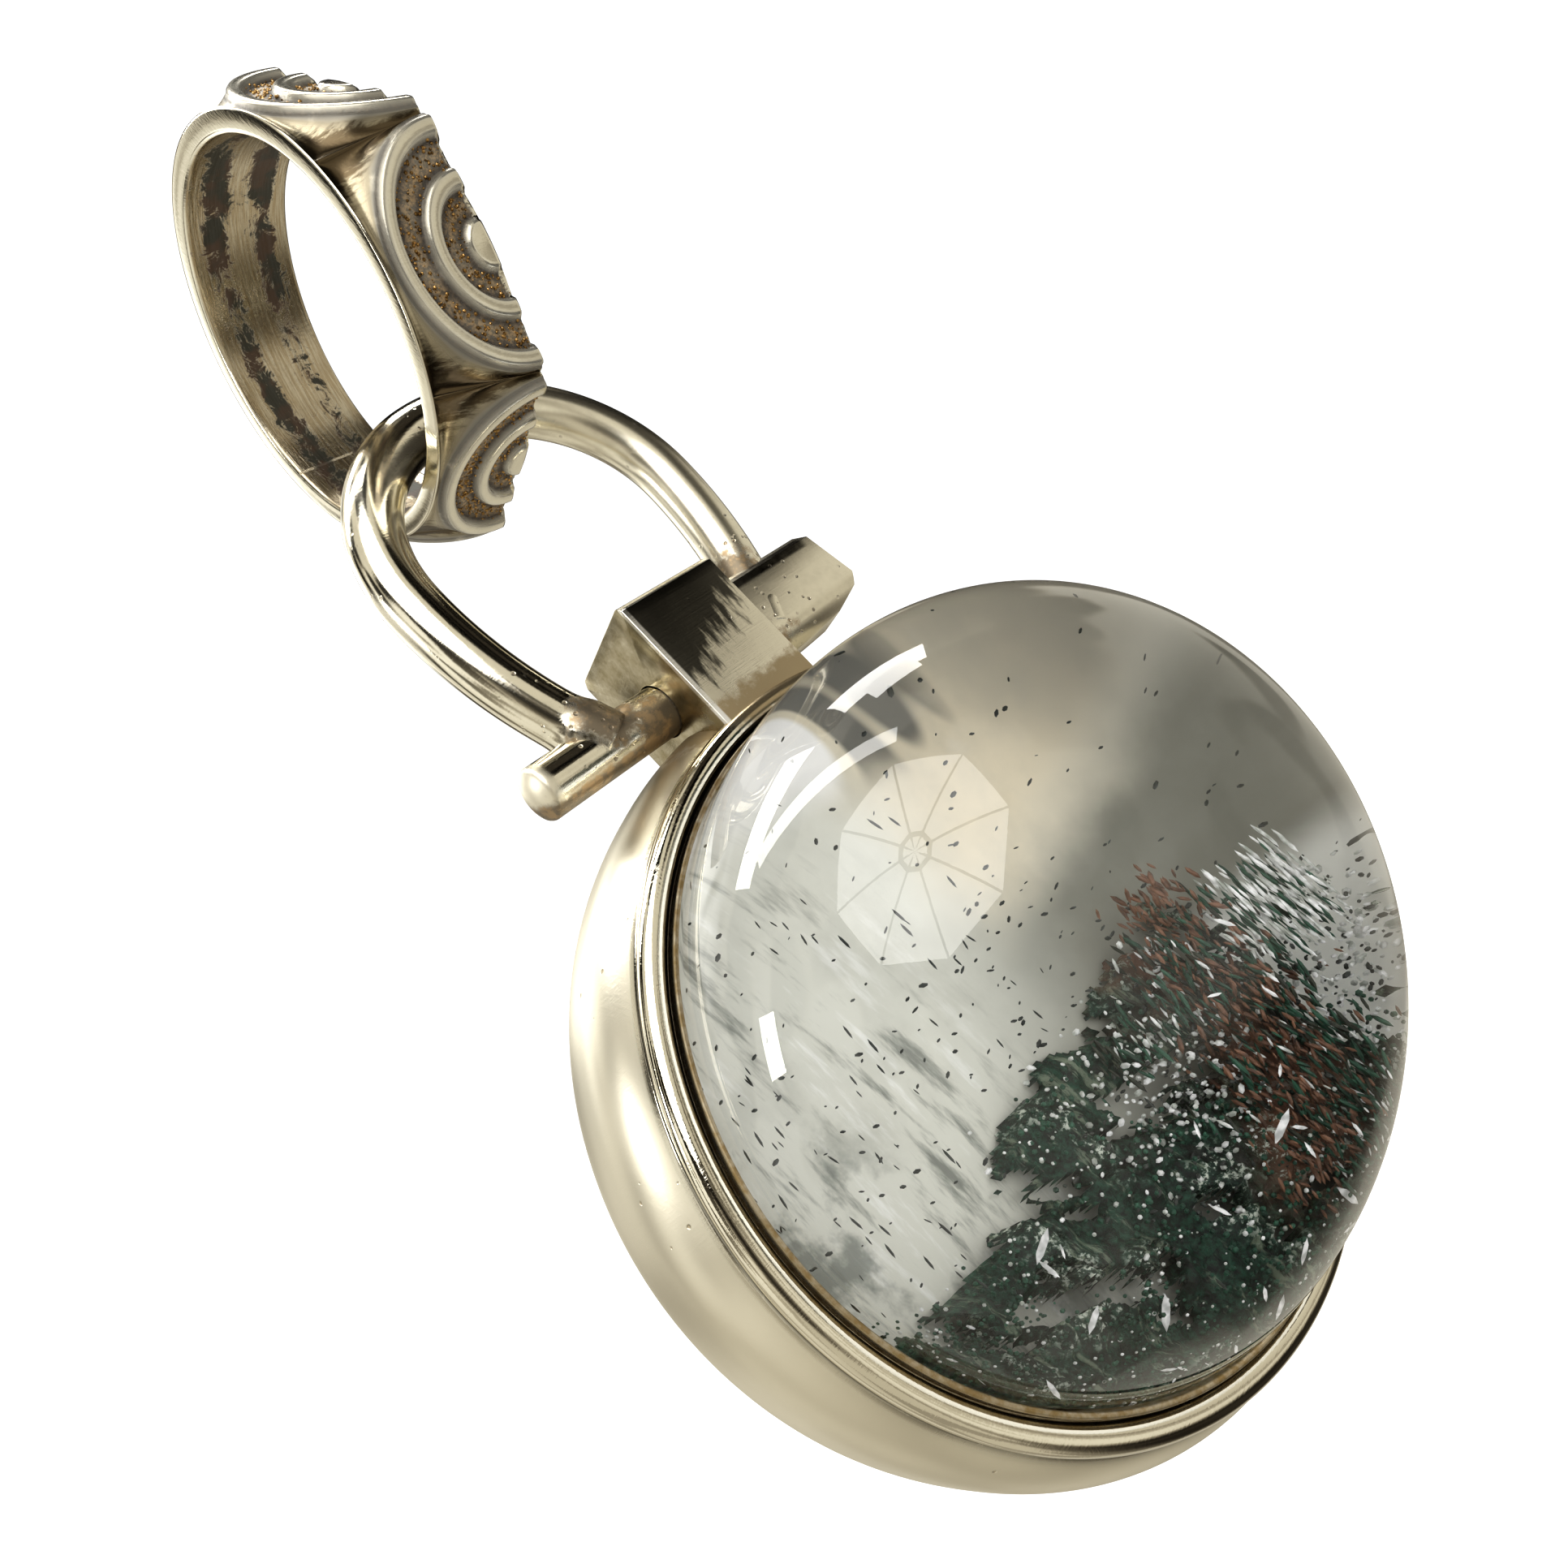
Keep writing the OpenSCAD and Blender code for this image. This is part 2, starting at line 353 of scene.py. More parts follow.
class Paint:
    """One material's node tree: a Principled shader and the one method that adds any other node."""

    def __init__(self, name, **constants):
        self.material = bpy.data.materials.new(name)
        self.material.use_nodes = True
        self.tree = self.material.node_tree
        self.shader = next(n for n in self.tree.nodes if n.type == "BSDF_PRINCIPLED")
        self.apply(**constants)

    def node(self, kind, settings=None, inputs=None, out=0):
        """Adds a node, sets it up, fills or links its sockets and returns one of its outputs."""
        made = self.tree.nodes.new(kind)
        for key, value in (settings or {}).items():
            if key == "stops":
                self.set_stops(made.color_ramp, value)
            else:
                setattr(made, key, value)
        for key, value in (inputs or {}).items():
            self.fill(made.inputs[key], value)
        return Wire(self, made.outputs[out])

    def fill(self, socket, value):
        if isinstance(value, Wire):
            self.tree.links.new(value.socket, socket)
        elif isinstance(value, tuple) and len(value) == 3 and socket.type == "RGBA":
            socket.default_value = (*value, 1)
        else:
            socket.default_value = value

    @staticmethod
    def set_stops(ramp, stops):
        while len(ramp.elements) < len(stops):
            ramp.elements.new(1)
        for element, (place, colour) in zip(ramp.elements, stops):
            element.position, element.color = place, (*colour, 1)

    def coords(self):
        return self.node("ShaderNodeTexCoord", out="Object")

    def fields(self, *names):
        """Numbers that the mesh holds for its vertices."""
        return [self.node("ShaderNodeAttribute", {"attribute_name": name}, out="Fac") for name in names]

    def split(self, vector):
        return [self.node("ShaderNodeSeparateXYZ", inputs={0: vector}, out=k) for k in range(3)]

    def placed(self, vector, shift=(0, 0, 0), stretch=(1, 1, 1), turn=(0, 0, 0)):
        return self.node("ShaderNodeMapping", inputs={
            "Vector": vector, "Location": shift, "Rotation": turn, "Scale": stretch})

    def mm_from(self, place, middle):
        """How far a place lies from a middle along each axis, in millimetres."""
        shifted = self.placed(place, shift=tuple(-v * MM for v in middle))
        return [axis * TO_MM for axis in self.split(shifted)]

    def noise(self, vector, size, detail=4.0, roughness=0.55, twist=0.0, **placing):
        """Noise from 0 to 1 whose lumps have the size given, in mm, and may be stretched and turned."""
        if placing:
            vector = self.placed(vector, **placing)
        return self.node("ShaderNodeTexNoise", inputs={
            "Vector": vector, "Scale": 1 / (size * MM), "Detail": detail,
            "Roughness": roughness, "Distortion": twist}, out="Fac")

    def spots(self, vector, size):
        inputs = {"Vector": vector, "Scale": 1 / (size * MM)}
        return self.node("ShaderNodeTexVoronoi", inputs=inputs, out="Distance")

    def vector(self, operation, inputs, out=0):
        return self.node("ShaderNodeVectorMath", {"operation": operation}, inputs, out)

    def mix(self, share, first, second):
        """A colour between two others."""
        return self.node("ShaderNodeMix", {"data_type": "RGBA"}, {0: share, 6: first, 7: second}, out=2)

    def layers(self, colour, *coats):
        """A colour under coats of others, each a share and a colour."""
        for share, coat in coats:
            colour = self.mix(share, colour, coat)
        return colour

    def bump(self, height, depth, strength=1.0, below=None):
        inputs = {"Height": height, "Distance": depth * MM, "Strength": strength}
        if below is not None:
            inputs["Normal"] = below
        return self.node("ShaderNodeBump", inputs=inputs)

    def apply(self, **inputs):
        """Fills or links the shader's own inputs."""
        for key, value in inputs.items():
            self.fill(self.shader.inputs[key.replace("_", " ")], value)
        return self.material

    def glow(self, colour, strength):
        """Light of its own and nothing mirrored or lit."""
        return self.apply(Base_Color=BLACK, Specular_IOR_Level=0.0, Emission_Color=colour,
                          Emission_Strength=strength)


# Scattering with Geometry Nodes

# Size of the smallest grain as a share of the largest
SMALLEST = 0.35
SCATTER_INPUTS = {
    "Geometry": "Geometry", "Density": "Float", "Seed": "Int", "Smallest": "Float", "Largest": "Float",
    "Stretch": "Vector", "Turn": "Vector", "Drift": "Vector", "Material": "Material",
}
# Sockets of the Random Value node for each kind: lowest, highest, result
RANDOM_SOCKETS = {"FLOAT_VECTOR": (0, 1, 0), "FLOAT": (2, 3, 1)}


def scatter_tree(name):
    """A node group that sows small balls or needles over a mesh's faces, thickest where its field is 1."""
    tree = bpy.data.node_groups.new(name, "GeometryNodeTree")
    for label, kind in SCATTER_INPUTS.items():
        tree.interface.new_socket(label, in_out="INPUT", socket_type="NodeSocket" + kind)
    tree.interface.new_socket("Geometry", in_out="OUTPUT", socket_type="NodeSocketGeometry")

    def add(kind, settings=None, inputs=None):
        made = tree.nodes.new(kind)
        for key, value in (settings or {}).items():
            setattr(made, key, value)
        for key, value in (inputs or {}).items():
            if isinstance(value, bpy.types.NodeSocket):
                tree.links.new(value, made.inputs[key])
            else:
                made.inputs[key].default_value = value
        return made

    def result(*row, out=0):
        return add(*row).outputs[out]

    def scaled(vector, share):
        return result("ShaderNodeVectorMath", {"operation": "SCALE"}, {0: vector, "Scale": share})

    def varied(kind, low, high, seed_shift):
        seed = result("ShaderNodeMath", None, {0: given["Seed"], 1: float(seed_shift)})
        first, second, out = RANDOM_SOCKETS[kind]
        inputs = {first: low, second: high, "Seed": seed}
        return result("FunctionNodeRandomValue", {"data_type": kind}, inputs, out=out)

    given = add("NodeGroupInput").outputs
    field = result("GeometryNodeInputNamedAttribute", {"data_type": "FLOAT"}, {"Name": "thick"})
    density = result("ShaderNodeMath", {"operation": "MULTIPLY"}, {0: given["Density"], 1: field})
    sown = result("GeometryNodeDistributePointsOnFaces", None, {
        "Mesh": given["Geometry"], "Seed": given["Seed"], "Density": density})
    drift = varied("FLOAT_VECTOR", scaled(given["Drift"], -1.0), given["Drift"], 1)
    moved = result("GeometryNodeSetPosition", None, {"Geometry": sown, "Offset": drift})
    turn = varied("FLOAT_VECTOR", scaled(given["Turn"], -1.0), given["Turn"], 2)
    size = varied("FLOAT", given["Smallest"], given["Largest"], 3)
    ball = result("GeometryNodeMeshIcoSphere", None, {"Radius": 1.0, "Subdivisions": 1})
    placed = result("GeometryNodeInstanceOnPoints", None, {
        "Points": moved, "Instance": ball, "Rotation": turn, "Scale": scaled(given["Stretch"], size)})
    real = result("GeometryNodeRealizeInstances", None, {0: placed})
    painted = result("GeometryNodeSetMaterial", None, {"Geometry": real, "Material": given["Material"]})
    tree.links.new(painted, add("NodeGroupOutput").inputs[0])
    return tree


def scatter(name, carrier, tree, largest, **values):
    """Sows a tree's balls or needles on a carrier mesh and returns them as a mesh object."""
    values.update(Largest=largest, Smallest=largest * SMALLEST)
    modifier = carrier.modifiers.new("Scatter", "NODES")
    modifier.node_group = tree
    for item in tree.interface.items_tree:
        if item.in_out == "INPUT" and item.name in values:
            modifier[item.identifier] = values[item.name]
    mesh = baked(carrier)
    mesh.name = name
    carrier.modifiers.remove(modifier)
    return add_object(name, mesh)


# Settings

def colour_setting(name, text, default):
    return bpy.props.FloatVectorProperty(name=name, description=text, subtype="COLOR", default=default)


def length_setting(name, text, default):
    return bpy.props.FloatProperty(name=name, description=text, default=default, unit="LENGTH", precision=6)


class PendantFinishes(bpy.types.PropertyGroup):
    """Colours of the pendant"""
    silver: colour_setting("Silver", "Colour of the bare silver", (0.88, 0.835, 0.70))
    tarnish: colour_setting("Tarnish", "Colour of the brown tarnish", (0.19, 0.118, 0.046))
    # Black of the patina in hollows, also used for the painted shadow under the loop, the painted dark
    # reflection on the head and the painted shade in the grooves by the bead
    black_patina_and_shade: colour_setting("Old black", "Colour of the blackest recesses", (0.018, 0.014, 0.010))
    quartz: colour_setting("Quartz", "Tint of the clear quartz", (0.985, 0.985, 0.98))
    moss: colour_setting("Moss", "Colour of the green inclusions", (0.015, 0.055, 0.033))
    rust: colour_setting("Rust", "Colour of the red-brown inclusions", (0.155, 0.078, 0.045))
    ground: colour_setting("Ground", "Colour of the stone's frosted foot", (0.70, 0.705, 0.63))


class PendantDetails(bpy.types.PropertyGroup):
    """Sizes of the pendant's fine detail"""
    relief: length_setting("Relief", "Height of the raised ovals", 0.28 * MM)
    grain: length_setting("Grain", "Radius of the largest grain of the stippled ground", 0.075 * MM)
    speck: length_setting("Speck", "Radius of the largest dark speck in the quartz", 0.075 * MM)


class PendantStudio(bpy.types.PropertyGroup):
    """Floor and light of the stage"""
    floor: colour_setting("Floor", "Colour of the floor", (0.93, 0.93, 0.92))
    drop: length_setting("Drop", "Distance from the cord seat down to the floor", 0.115)
    sky: bpy.props.FloatProperty(
        name="Sky", description="Strength of the white light from all round", default=1.0)


# Stage

CAMERA_PLACE = Vector((-22.72, -31.08, -33.91))
CAMERA_AZIMUTH = 36.24
CAMERA_ELEVATION = 5.55
CAMERA_ROLL = -43.50
LENS = 25.19
SENSOR = 36.0
CLIP_NEAR = 0.001
CLIP_FAR = 20

BLACK = (0.0, 0.0, 0.0)
WHITE = (1.0, 1.0, 1.0)
LAMP_COLOUR = (1.0, 0.985, 0.95)
# The room's tint from its darkest to its brightest patches
ROOM_TINT = [(0.0, (0.5, 0.42, 0.32)), (0.5, (0.97, 0.90, 0.74)), (1.0, (1.0, 0.985, 0.92))]
ROOM_R = 0.5
FLOOR_HALF = 6.0
FLOOR_GLOW = 0.3

# The room that the silver and the dome mirror, as soft patches: azimuth, elevation, the radii between which
# each fades, in degrees, and its brightness
ROOM_LIGHT = 0.50
ROOM = {
    "pale_table": (-160, 5, 25, 75, 0.60),
    "lamp_behind": (-172, 35, 7, 24, 1.5),
    "dark_behind_right": (148, 19, 8, 30, 0.22),
    "dark_above_right": (108, 50, 10, 30, 0.05),
    "dark_front_right": (45, 36, 16, 24, 0.05),
    "dark_below": (48, -68, 18, 42, 0.06),
    "dark_camera": (-36, -6, 8, 26, 0.12),
    "pale_left": (-95, 10, 14, 45, 0.72),
    "pale_front_low": (10, -28, 8, 30, 0.70),
}

# Lamps and windows, seen in reflections only: azimuth, elevation, distance, width, height (mm), strength
CARDS = {
    "umbrella": (-30, 34, 260, 270, 270, 3.4),
    "side_window": (-107, 24, 260, 34, 60, 12.0),
    "zenith_strip": (150, 80, 260, 330, 48, 9.0),
    "second_strip": (-60, 79, 260, 240, 26, 7.0),
    "ceiling_window": (70, 66, 260, 40, 60, 8.0),
}
UMBRELLA_SIDES = 8
# Shares of the umbrella's radius
UMBRELLA_HUB = 0.13
UMBRELLA_RING = 0.18
UMBRELLA_RIB = 0.012


def toward(azimuth, elevation):
    """The direction of an azimuth and elevation in degrees, 0 to the front and 90 to the right."""
    a, e = math.radians(azimuth), math.radians(elevation)
    return Vector((math.sin(a) * math.cos(e), -math.cos(a) * math.cos(e), math.sin(e)))


def add_camera():
    """The camera at the photograph's angle, turned from +Y and then rolled about its own axis."""
    azimuth, elevation, roll = (math.radians(a) for a in (CAMERA_AZIMUTH, CAMERA_ELEVATION, CAMERA_ROLL))
    ahead = Vector((math.sin(azimuth) * math.cos(elevation), math.cos(azimuth) * math.cos(elevation),
                    math.sin(elevation)))
    level = ahead.cross(Vector((0, 0, 1))).normalized()
    upright = level.cross(ahead)
    right = level * math.cos(roll) + upright * math.sin(roll)
    up = upright * math.cos(roll) - level * math.sin(roll)
    data = bpy.data.cameras.new("Camera")
    data.lens, data.sensor_width = LENS, SENSOR
    data.clip_start, data.clip_end = CLIP_NEAR, CLIP_FAR
    camera = add_object("Camera", data)
    turn = Matrix((right, up, -ahead)).transposed().to_4x4()
    camera.matrix_world = Matrix.Translation(CAMERA_PLACE * MM) @ turn
    bpy.context.scene.camera = camera


def facing(place, target):
    """The matrix of something at a place whose -Z looks at a target."""
    turn = (target - place).to_track_quat("-Z", "Y").to_matrix().to_4x4()
    return Matrix.Translation(place) @ turn


def flat_item(name, corners, faces, material):
    mesh = bpy.data.meshes.new(name)
    mesh.from_pydata(corners, [], faces)
    mesh.materials.append(material)
    return add_object(name, mesh)


def rectangle(half_w, half_h, z=0):
    """Corners and face of a level rectangle."""
    corners = [(-half_w, -half_h, z), (half_w, -half_h, z), (half_w, half_h, z), (-half_w, half_h, z)]
    return corners, [(0, 1, 2, 3)]


def hide_but_mirrored(item):
    """Shows a stage object in reflections only."""
    item.visible_camera = item.visible_diffuse = item.visible_shadow = item.visible_transmission = False


def umbrella_panels(radius):
    """The cloth between the umbrella's ribs, with a dark ring round its hub."""
    hub, ring, rib = UMBRELLA_HUB * radius, UMBRELLA_RING * radius, UMBRELLA_RIB * radius
    half = math.pi / UMBRELLA_SIDES
    corners, faces = [], []
    for k in range(UMBRELLA_SIDES):
        middle = 2 * math.pi * k / UMBRELLA_SIDES
        for near, far in ((0.0, hub), (ring, radius)):
            first = len(corners)
            for r, side in ((near, -1), (far, -1), (far, 1), (near, 1)):
                turn = middle + side * (half - rib / max(r, 4 * rib))
                corners.append((r * math.cos(turn), r * math.sin(turn), 0))
            faces.append(tuple(range(first, first + 4)))
    return corners, faces


def add_card(name, azimuth, elevation, distance, width, height, strength):
    """A small flat light that shows in reflections only, with eight sides for the umbrella."""
    centre = (CAD_BOX[0] + CAD_BOX[1]) / 2
    place = centre + toward(azimuth, elevation) * distance * MM
    half_w, half_h = width * MM / 2, height * MM / 2
    outline = umbrella_panels(half_w) if name == "umbrella" else rectangle(half_w, half_h)
    card = flat_item(name, *outline, Paint(name, Roughness=1.0).glow(LAMP_COLOUR, strength))
    card.matrix_world = facing(place, centre)
    hide_but_mirrored(card)


def room_finish():
    """The room's soft patches under scattered clutter, which thins out downwards."""
    paint = Paint("room", Roughness=1.0)
    way = paint.vector("NORMALIZE", {0: paint.coords()})
    light = ROOM_LIGHT
    for azimuth, elevation, whole, faded, brightness in ROOM.values():
        aim = tuple(toward(azimuth, elevation))
        near = paint.vector("DOT_PRODUCT", {0: way, 1: aim}, out="Value")
        mask = near.step(math.cos(math.radians(faded)), math.cos(math.radians(whole)))
        light = light + mask * (brightness - light)
    clutter = paint.node("ShaderNodeTexNoise", inputs={
        "Vector": way, "Scale": 3.1, "Detail": 0.5, "Roughness": 0.4, "Distortion": 0.3}, out="Fac")
    upward = paint.split(way)[2].step(-0.35, 0.35, 0.25, 1.0)
    light = light * (1 - (1 - clutter.step(0.42, 0.52, 0.03, 1.3)) * upward)
    tint = paint.node("ShaderNodeValToRGB", {"stops": ROOM_TINT}, {0: light})
    material = paint.glow(paint.vector("SCALE", {0: tint, "Scale": light}), 1.0)
    material.cycles.emission_sampling = "NONE"
    return material


def add_room():
    """A wide ball round the pendant whose soft light and dark patches show in reflections only."""
    mesh = bpy.data.meshes.new("room")
    work = bmesh.new()
    bmesh.ops.create_uvsphere(work, u_segments=48, v_segments=24, radius=ROOM_R)
    work.to_mesh(mesh)
    work.free()
    mesh.materials.append(room_finish())
    room = add_object("room", mesh)
    room.matrix_world = Matrix.Translation((CAD_BOX[0] + CAD_BOX[1]) / 2)
    hide_but_mirrored(room)


def add_floor(studio):
    """A wide pale floor under the hanging pendant, as white as the light round it."""
    material = Paint("floor", Roughness=0.9).apply(
        Base_Color=tuple(studio.floor), Specular_IOR_Level=0.1, Emission_Color=WHITE,
        Emission_Strength=FLOOR_GLOW)
    floor = flat_item("floor", *rectangle(FLOOR_HALF, FLOOR_HALF, -studio.drop), material)
    floor.visible_glossy = False


def add_world(sky):
    """White light from all round."""
    world = bpy.data.worlds.new("studio")
    world.use_nodes = True
    colour, strength = world.node_tree.nodes["Background"].inputs[:2]
    colour.default_value = (*WHITE, 1)
    strength.default_value = sky
    world.cycles.sampling_method = "NONE"
    bpy.context.scene.world = world


class PENDANT_OT_stage(bpy.types.Operator):
    """Add the camera, the floor and the soft studio light"""
    bl_idname = "pendant.stage"
    bl_label = "Stage"

    def execute(self, context):
        studio = context.scene.pendant_studio
        add_camera()
        add_floor(studio)
        add_room()
        for name, row in CARDS.items():
            add_card(name, *row)
        add_world(studio.sky)
        context.scene.view_settings.view_transform = "Standard"
        context.scene.view_settings.look = "Medium High Contrast"
        return {"FINISHED"}


# Finishes

# Silver's wear and dirt besides the colours in the panel, and the block's painted dark reflection and
# painted edge highlight
BEVEL_GREY = (0.36, 0.305, 0.195)
HOLE_GREY = (0.48, 0.385, 0.245)
BLOT_BROWN = (0.050, 0.024, 0.012)
BLOT_GREEN = (0.016, 0.018, 0.012)
STEP_BROWN = (0.33, 0.235, 0.105)
BLOCK_SIDE = (0.30, 0.25, 0.14)
BLOCK_PAINTED_REFLECTION = (0.045, 0.043, 0.036)
EDGE_PAINTED_HIGHLIGHT = (1.0, 0.99, 0.95)
# The stone's foot, with a painted reflection of the setting's inside
FOOT_PAINTED_REFLECTION = (0.235, 0.235, 0.195)
FOOT_BEIGE = (0.78, 0.70, 0.53)
FOOT_FAR = (0.42, 0.40, 0.33)
FOOT_CLOUD = (0.36, 0.36, 0.31)
VEIL_DARK = (0.13, 0.145, 0.125)
VEIL_WHITE = (0.97, 0.98, 0.95)
SMUDGE = (0.15, 0.17, 0.15)
SWIRL_DARK = (0.10, 0.105, 0.10)
SWIRL_WHITE = (0.98, 0.98, 0.96)
SPECKLED = (0.86, 0.87, 0.82)
# Inclusions
MOSS_PALE = (0.24, 0.29, 0.21)
MOSS_BLACK = (0.012, 0.015, 0.011)
BED_GRAIN = (0.62, 0.66, 0.58)
INK = (0.03, 0.035, 0.03)
CHALK = (0.72, 0.77, 0.68)
FIBRE_BLACK = (0.03, 0.035, 0.022)
# White of the flakes, a painted glint
FLAKE_GLINT = (0.9, 0.92, 0.9)

# Numbers that the bail's and the setting's meshes hold for their finishes
BAIL_FIELDS = ("ground", "crease", "bevel", "corner", "inside")
BEZEL_FIELDS = ("polish", "inner", "solder", "block", "groove")


def scratched(paint, place, depth):
    """Fine scratches in two directions as a bump."""
    one = paint.noise(place, 0.35, 3, stretch=(0.25, 1, 6), turn=(0.3, 0.9, 0.2))
    two = paint.noise(place, 0.45, 3, stretch=(5, 0.3, 1), turn=(1.1, 0.2, 0.7))
    return paint.bump(one.most(two), depth)


def shaded(colour, share):
    """A colour made darker or lighter."""
    return tuple(min(1.0, share * c) for c in colour)


def cast_silver(finish):
    """Bail: polished ridges over a sandy brown ground, streaked grey bevels, dark blotches inside, painted
    shadow under the loop.
    """
    paint = Paint("cast_silver")
    place = paint.coords()
    ground, crease, bevel, corner, inside = paint.fields(*BAIL_FIELDS)
    around, across = paint.fields("round", "across")
    rolled = paint.node("ShaderNodeCombineXYZ", inputs={0: around, 1: across})
    across_mm = across * TO_MM
    cloud = paint.noise(place, 1.3, 4)
    sand = paint.noise(place, 0.14, 3, 0.7)
    streaks = paint.noise(rolled, 0.11, 4, 0.65, stretch=(0.06, 1, 1))
    blotch = paint.noise(rolled, 0.75, 6, 0.85, 1.0, stretch=(0.8, 1, 1))
    rubbed = paint.noise(rolled, 0.3, 5, 0.7, stretch=(1.6, 0.35, 1))
    patch = paint.noise(place, 3.2, 2) - 0.5
    in_row = 1 - (across_mm.absolute() - 0.95).absolute().step(0.15, 0.85)
    blots = (inside * (in_row * 0.24 + blotch + patch * 0.6).step(0.60, 0.68)).clamp()
    worn = ((corner * 1.5 + bevel * 0.55) * rubbed).step(0.32, 0.56)
    brown = (ground * (0.85 + 0.5 * (cloud - 0.5))).clamp()
    black = crease * cloud.step(0.15, 0.45)
    z = paint.split(place)[2] * TO_MM
    # Painted shadow: black low in the hole, where the loop's wire lies in it
    seat = inside * (z + 1.5 * (blotch - 0.5)).step(-11.4, -12.4) * across_mm.step(-2.0, -1.2)
    colour = paint.layers(
        shaded(finish.silver, 0.95),
        (cloud.step(0.3, 0.7) * 0.35, shaded(finish.silver, 0.75)),
        (bevel * 0.8, BEVEL_GREY),
        (inside * (0.35 + 0.55 * streaks.step(0.35, 0.65)), HOLE_GREY),
        (brown, paint.mix(sand.step(0.4, 0.62), shaded(finish.tarnish, 0.3), shaded(finish.tarnish, 1.6))),
        (worn * 0.85, shaded(finish.tarnish, 0.35)),
        (blots * 0.94, paint.mix(paint.noise(place, 1.1, 2).step(0.42, 0.58), BLOT_BROWN, BLOT_GREEN)),
        ((black * 0.85).most(seat * 0.95), shaded(finish.black_patina_and_shade, 1.6)))
    metal = 1 - 0.5 * brown - 0.6 * blots.most(black)
    roughness = 0.12 + 0.34 * ground + 0.09 * bevel + 0.13 * inside + 0.2 * blots.most(black)
    grooves = paint.noise(place, 0.3, 3, stretch=(1, 4, 1), turn=(0.4, 0.1, 0.3))
    height = paint.bump(sand * ground, 0.05, 0.9)
    height = paint.bump(streaks * inside, 0.025, 0.8, height)
    height = paint.bump(grooves, 0.008, 0.5, height)
    return paint.apply(Base_Color=colour, Roughness=roughness.clamp(), Metallic=metal.clamp(),
                       Normal=height)


def wire_silver(finish):
    """Loop: bright polish with brown pitted tarnish where its pieces are soldered, and a painted dark
    reflection along the head's upper front edge.
    """
    paint = Paint("wire_silver")
    place = paint.coords()
    solder, = paint.fields("solder")
    cloud = paint.noise(place, 0.8, 5, 0.7)
    x, y, z = paint.mm_from(place, BAR)
    on_rod = z.step(1.15, 1.05) * x.step(-2.6, -3.0)
    under = on_rod * (0.5 * y - z + 0.7 * (cloud - 0.5)).step(0.15, 0.55)
    stain = (solder * 0.85 + cloud * 0.9 - 0.85).step(0.0, 0.22).most(under)
    pitted = (solder * 0.6 + paint.noise(place, 1.4, 2) - 0.45).step(0.1, 0.3)
    pits = (1 - paint.spots(place, 0.42).step(0.10, 0.22)) * pitted
    brown = (stain * 0.85).most(pits * 0.75).clamp()
    cap = x.step(-7.0, -7.3).most(x.step(2.8, 3.0) * 0.45)
    # Painted dark reflection: a black stripe along the upper front edge of the head
    head_edge_painted_reflection = x.step(3.4, 3.7) * x.step(8.3, 7.9) * z.step(1.85, 2.0) * z.step(2.5, 2.4) * y.step(-0.9, -1.0)
    colour = paint.layers(
        tuple(finish.silver),
        (cloud.step(0.4, 0.75) * 0.3, shaded(finish.silver, 0.7)),
        (brown, paint.mix(cloud.step(0.45, 0.6), shaded(finish.tarnish, 0.5), shaded(finish.tarnish, 1.5))),
        (head_edge_painted_reflection * (0.6 + cloud * 0.6).clamp(), tuple(finish.black_patina_and_shade)))
    normal = paint.bump(pits, -0.03, 0.8, scratched(paint, place, 0.0025))
    return paint.apply(Base_Color=colour, Metallic=1 - 0.35 * brown, Normal=normal,
                       Roughness=0.09 + 0.3 * brown.most(cap) + 0.06 * cloud)


